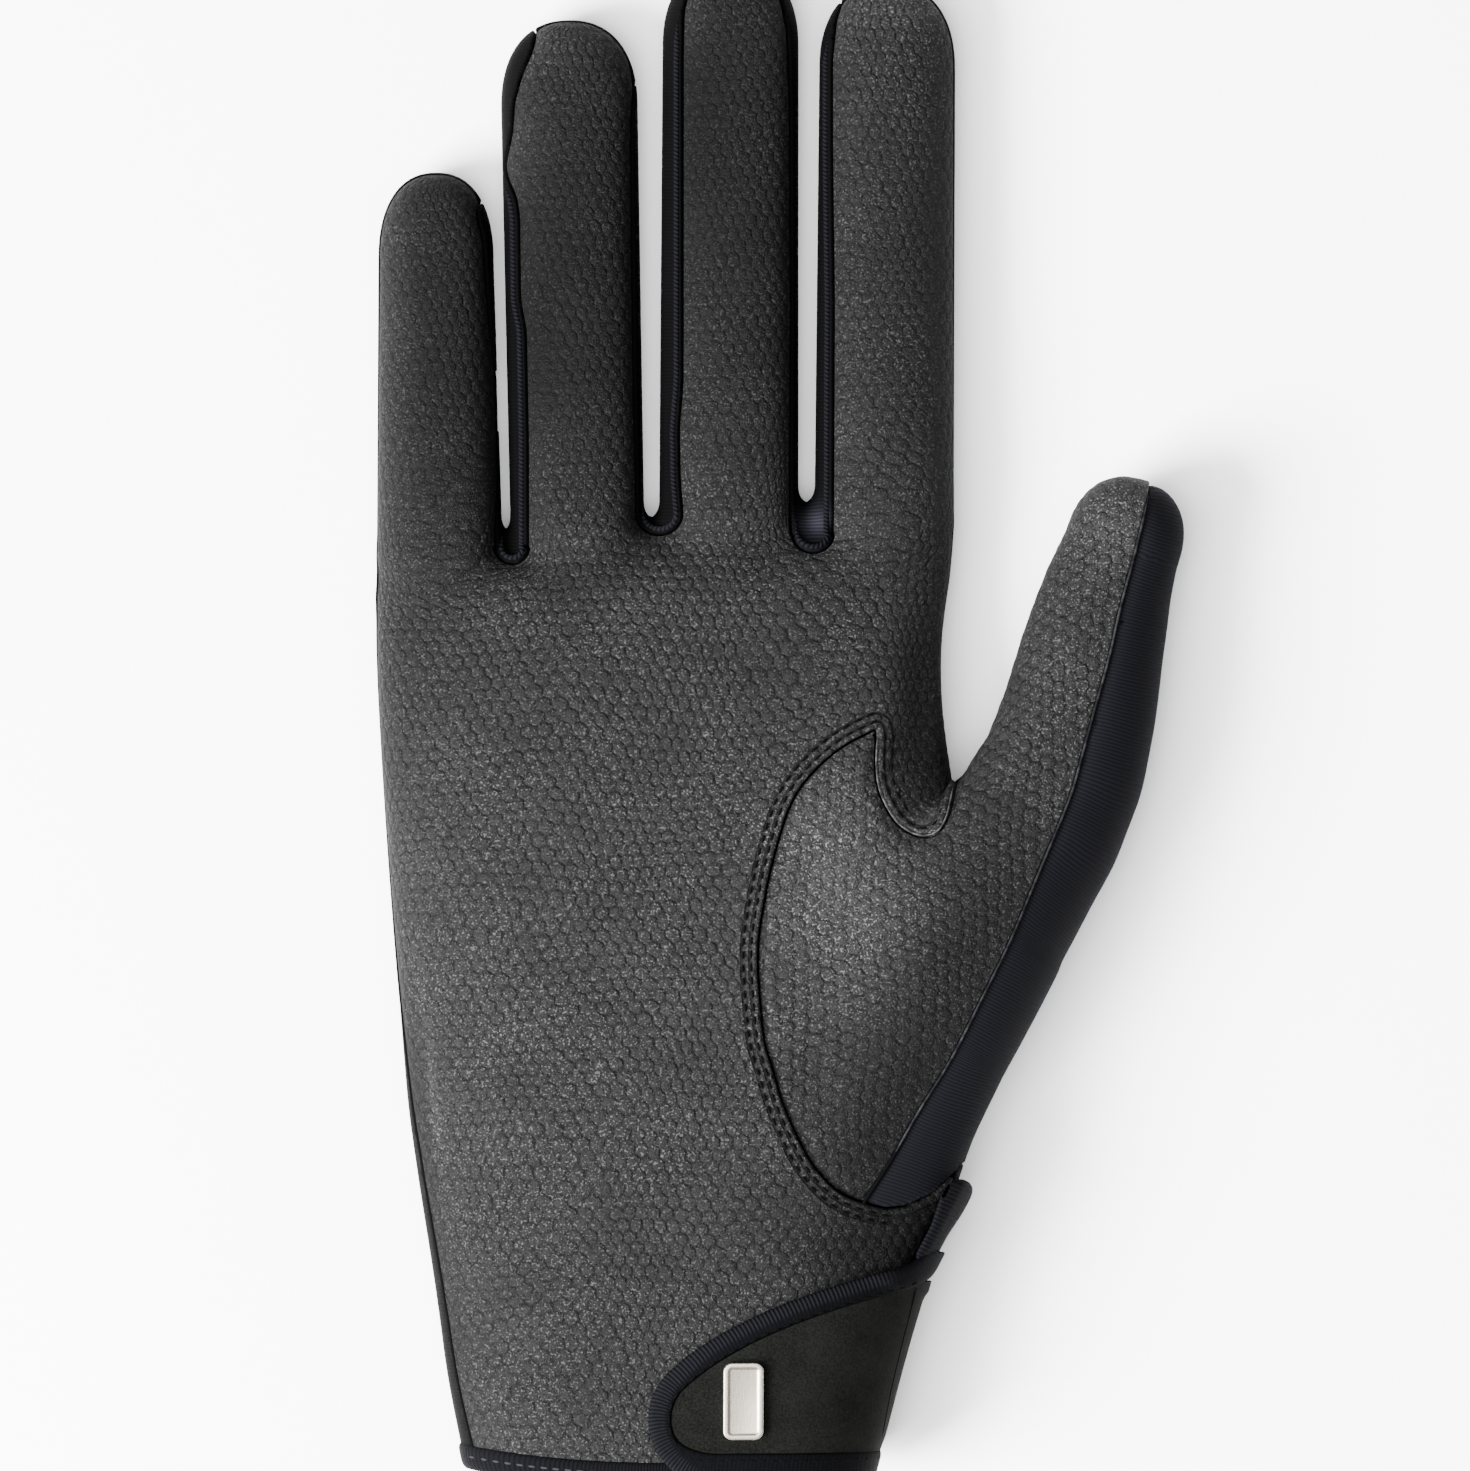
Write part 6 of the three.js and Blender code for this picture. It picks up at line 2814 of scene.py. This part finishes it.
class Panels:
    """The panels that are cut from the hand's surface, and what the cloth of each carries."""

    CELL_RISE = 0.07  # height of the embossed cells
    PATCH_SCALE = 1.06  # the cells of the thumb patch lie a little wider
    NO_CHANNEL = 9.0  # so far from the thumb seam that no channel shows
    # painted light on the knit of the thumb's side and painted shade on the knit of the back
    SIDE_PAINTED_LIGHT = 2.0
    BACK_PAINTED_SHADE = 0.45
    GUSSET_TONE = 0.22  # the gussets lie in the fingers' shadow
    WEB = PaintedShadingSpot(815, 524, 22, 24, 30.0)  # but for the web beside the index finger

    def __init__(self, hand: HandForm, seams: Seams) -> None:
        """Keeps the seams and lays out the cloth.

        Args:
            hand: The hand's form.
            seams: Where its panels meet.
        """
        self.seams = seams
        self.cloths = ClothMap(hand)
        self.gussets = [seams.gusset(number) for number in range(len(GUSSET_NAMES))]

    @staticmethod
    def but(region: Region) -> Region:
        """All outside a region.

        Args:
            region: What is left out.

        Returns:
            The rest.
        """

        def rest(x: Array, y: Array, z: Array) -> Array:
            """Signed distance, negative outside the region."""
            return -region(x, y, z)

        return rest

    def above_fold(self, x: Array, y: Array, z: Array) -> Array:
        """Above the height down to which the thumb patch reaches."""
        return self.seams.UNDER_Z - z

    def side_half(self, x: Array, y: Array, z: Array) -> Array:
        """Outside the seam along the thumb, or under the thumb."""
        return np.minimum(self.seams.outside_thumb_seam(x, y, z), self.seams.under_thumb(x, y, z))

    def side_area(self, x: Array, y: Array, z: Array) -> Array:
        """The part of the thumb's hole that its side panel fills."""
        return np.maximum(self.seams.thumb_area(x, y, z), self.side_half(x, y, z))

    @staticmethod
    def wander(cloth: Array, points: Array) -> Array:
        """Lets the cells wander a little, as on stretched cloth.

        Args:
            cloth: Cloth coordinates.
            points: Places on the hand.

        Returns:
            The moved cloth coordinates.
        """
        x, y, _ = points.T
        across = wavy(x, y, 30.0, 8) * 1.2 + wavy(x, y, 11.0, 3) * 0.35 + wavy(x, y, 4.6, 5) * 0.13
        along = wavy(x, y, 34.0, 9) * 1.6 + wavy(x, y, 12.0, 4) * 0.4 + wavy(x, y, 4.6, 6) * 0.13
        return cloth + np.stack([across, along], axis=1)

    def palm_cloth(self, points: Array) -> Array:
        """Cloth coordinates of the palm's suede."""
        return self.wander(self.cloths.palm(points), points)

    def patch_cloth(self, points: Array) -> Array:
        """Cloth coordinates of the thumb patch's suede."""
        return self.wander(self.cloths.thumb_front(points) / self.PATCH_SCALE, points)

    def palm_lift(self, points: Array) -> Array:
        """How the palm's cloth stands over or sinks under the plain form at its seams.

        Args:
            points: Places on the hand.

        Returns:
            Heights in millimetres.
        """
        over = hump(self.seams.thumb_area(*points.T), 2.2) * 0.45
        sink = np.zeros(len(points))
        for gusset in self.gussets:
            sink = np.maximum(sink, hump(gusset(*points.T), 1.3) * 0.3)
        return over - sink

    def patch_lift(self, points: Array) -> Array:
        """How the thumb's patch sinks under the palm's edge and at its own seam."""
        sink = hump(self.seams.thumb_area(*points.T), 1.6) * 0.45
        return -sink + hump(self.seams.outside_thumb_seam(*points.T), 1.0) * 0.15

    def side_lift(self, points: Array) -> Array:
        """How the ribbed side panel sinks beside the seam along the thumb."""
        return -hump(self.seams.outside_thumb_seam(*points.T), 1.4) * 0.35

    @staticmethod
    def no_lift(points: Array) -> Array:
        """The plain form."""
        return np.zeros(len(points))

    def palm_marks(self, points: Array) -> dict[str, Array]:
        """The painted light and shade of the palm's suede, and how far the thumb patch is.

        Args:
            points: Places on the hand.

        Returns:
            The two point attributes.
        """
        seam = self.seams.thumb_area(*points.T)
        # the outer channel ends on the tongue
        ended = (points[:, 0] > 34.5) & (points[:, 1] < 114.5) & (seam > 1.9)
        return {"nap": painted_shading_tone(points), "seam": np.where(ended, self.NO_CHANNEL, seam)}

    def patch_marks(self, points: Array) -> dict[str, Array]:
        """The painted light and shade of the thumb patch's suede."""
        return {"nap": painted_shading_tone(points), "seam": np.full(len(points), self.NO_CHANNEL)}

    def side_marks(self, points: Array) -> dict[str, Array]:
        """The painted light on the knit of the thumb's side."""
        return {"nap": np.full(len(points), self.SIDE_PAINTED_LIGHT)}

    def back_marks(self, points: Array) -> dict[str, Array]:
        """The painted shade on the knit of the back."""
        return {"nap": np.full(len(points), self.BACK_PAINTED_SHADE)}

    def gusset_marks(self, points: Array) -> dict[str, Array]:
        """The painted shade on the knit of the gussets, lighter on the web beside the index finger."""
        return {"nap": self.GUSSET_TONE * np.exp(self.WEB.value(points))}

    def plans(self) -> list[PanelPlan]:
        """Says how each panel is cut and edged.

        Returns:
            The plans, in the order in which they are built.
        """
        seams, cloths = self.seams, self.cloths
        beside_gussets = tuple(self.but(gusset) for gusset in self.gussets)
        palm = PanelPlan(
            PanelName.PALM,
            "grip_suede",
            0.55,
            (*beside_gussets, self.but(seams.thumb_area), seams.palm_side, seams.cuff),
            0.5,
            self.palm_cloth,
            self.CELL_RISE,
            self.palm_lift,
            self.palm_marks,
        )
        thumb_palm = PanelPlan(
            PanelName.THUMB_PALM,
            "grip_suede",
            0.5,
            (seams.thumb_area, self.but(seams.outside_thumb_seam), self.above_fold),
            0.4,
            self.patch_cloth,
            self.CELL_RISE,
            self.patch_lift,
            self.patch_marks,
        )
        thumb_side = PanelPlan(
            PanelName.THUMB_SIDE,
            "ribbed_stretch",
            0.6,
            (seams.thumb_area, self.side_half),
            0.4,
            cloths.thumb,
            0.0,
            self.side_lift,
            self.side_marks,
        )
        back = PanelPlan(
            PanelName.BACK,
            "ribbed_stretch",
            0.9,
            (*beside_gussets, self.but(self.side_area), self.but(seams.palm_side), seams.cuff),
            0.4,
            cloths.palm,
            0.0,
            self.no_lift,
            self.back_marks,
        )
        gussets = [
            PanelPlan(
                name, "ribbed_stretch", 0.5, (area,), 0.35, cloths.palm, 0.0, self.no_lift, self.gusset_marks
            )
            for name, area in zip(GUSSET_NAMES, self.gussets)
        ]
        return [palm, thumb_palm, thumb_side, back, *gussets]


# Length, width and thickness of the stitches
SEAM_STITCH = (1.35, 0.42, 0.3)
STRAP_HEM_STITCH = (1.1, 0.35, 0.25)
BINDING_STITCH = (1.25, 0.4, 0.3)
CUFF_STITCH = (1.2, 0.4, 0.3)

# How far the two rows of stitches lie from the seam round the thumb patch
INNER_ROW = 1.15
OUTER_ROW = 2.45

STRAP_SIDE = ((916, 1287), (907, 1320), (899, 1352), (890, 1390), (881, 1438))
STRAP_HEM = ((700, 1457), (740, 1457.5), (800, 1458), (878, 1457))


def sew(hand: HandForm, seams: Seams, strap: Strap, placing: Placing, tape: bpy.types.Material) -> None:
    """Sews the stitches, cut edges, seams and piping.

    Args:
        hand: The hand's form.
        seams: Where its panels meet.
        strap: The closure strap.
        placing: How to reach the frame.
        tape: The piping's material.
    """
    black = Thread("black sewing thread", "#050505", "#010101").make()
    pale = Thread("grey sewing thread", "#242428", "#101012").make()
    cut_edge = Thread("cut suede edge", "#4a4a4c", "#0a0a0b", 0.8).make()
    seam_edge = Thread("edge of the thumb seam", "#2a2a2c", "#060607", 0.8).make()
    sewing = Sewing(hand, placing)
    for name, inner, outer in (
        ("thenar_stitches", seams.thenar, seams.thenar),
        ("tongue_stitches", seams.tongue, seams.tongue[:14]),
    ):
        rows = [sewing.beside(inner, INNER_ROW), sewing.beside(outer, OUTER_ROW)]
        sewing.row(name, rows, 2.1, SEAM_STITCH, 0.42, black, "grip_suede")
    sewing.cord("thumb_seam_edge", [seams.thumb[6:-10]], 0.2, 0.0, seam_edge)
    sewing.cord("thumb_seam_foot", [seams.thumb[-15:-5]], 0.32, -0.15, black)
    sewing.cord("tongue_edge", [seams.tongue], 0.14, 0.3, cut_edge)
    flank = sewing.flank(seams.side, 2.0, 150.0)
    sewing.cord("flank_seam", [flank], 0.32, -0.12, black)
    sewing.cord("strap_side_seam", [hand_line(STRAP_SIDE)], 0.2, 2.74, black, hand.wrist)
    hem_line = hand_line(STRAP_HEM)
    sewing.row(
        "strap_hem_stitches", [hem_line], 1.7, STRAP_HEM_STITCH, 2.95, black, "elastic_tape", hand.wrist
    )
    seen = [p for p in strap.inset_line(3.3) if p[0] < 41.0 and (p[1] > 4.5 or p[0] > 9.0)]
    sewing.row(
        "binding_stitches", [np.array(seen)], 1.9, BINDING_STITCH, 2.9, black, "elastic_tape", hand.wrist
    )
    for number, finger in enumerate(FINGERS[1:]):
        line = seams.piping(number, finger.tip_y - (26.0 if number == 0 else 9.0), 0.7)
        sewing.cord(f"piping_{GUSSET_NAMES[number].value}", [line], 0.5, 0.0, tape)
    hem = np.array([[x, cuff_bow(x) + 2.1] for x in np.linspace(-30.0, -1.0, 30)])
    sewing.row("hem_stitches", [hem], 1.9, CUFF_STITCH, 0.5, pale, "elastic_tape", hand.palm.distance)


def main() -> None:
    """Builds the glove in order."""
    logging.basicConfig(level=logging.INFO, format="%(message)s")
    FRAME.update(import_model())
    placing = Placing()
    set_camera(placing)
    set_studio()
    hand = HandForm()
    seams = Seams()
    panels = Panels(hand, seams)
    finishes = {"grip_suede": GripSuede().make(), "ribbed_stretch": RibbedStretch().make()}
    maker = PanelMaker(hand, placing)
    for plan in panels.plans():
        maker.make(plan, finishes[plan.slot])
    tape = ElasticTape().make()
    finishes.update(strap_suede=BrushedSuede().make(), elastic_tape=tape, hook_tape=HookTape().make())
    strap = Strap(hand, placing)
    strap.make(finishes)
    CuffBinding(hand, placing).make(tape)
    PullTab(hand, placing).make(tape)
    Plate().make(SatinPlate().make())
    sew(hand, seams, strap, placing, tape)


if __name__ == "__main__":
    main()
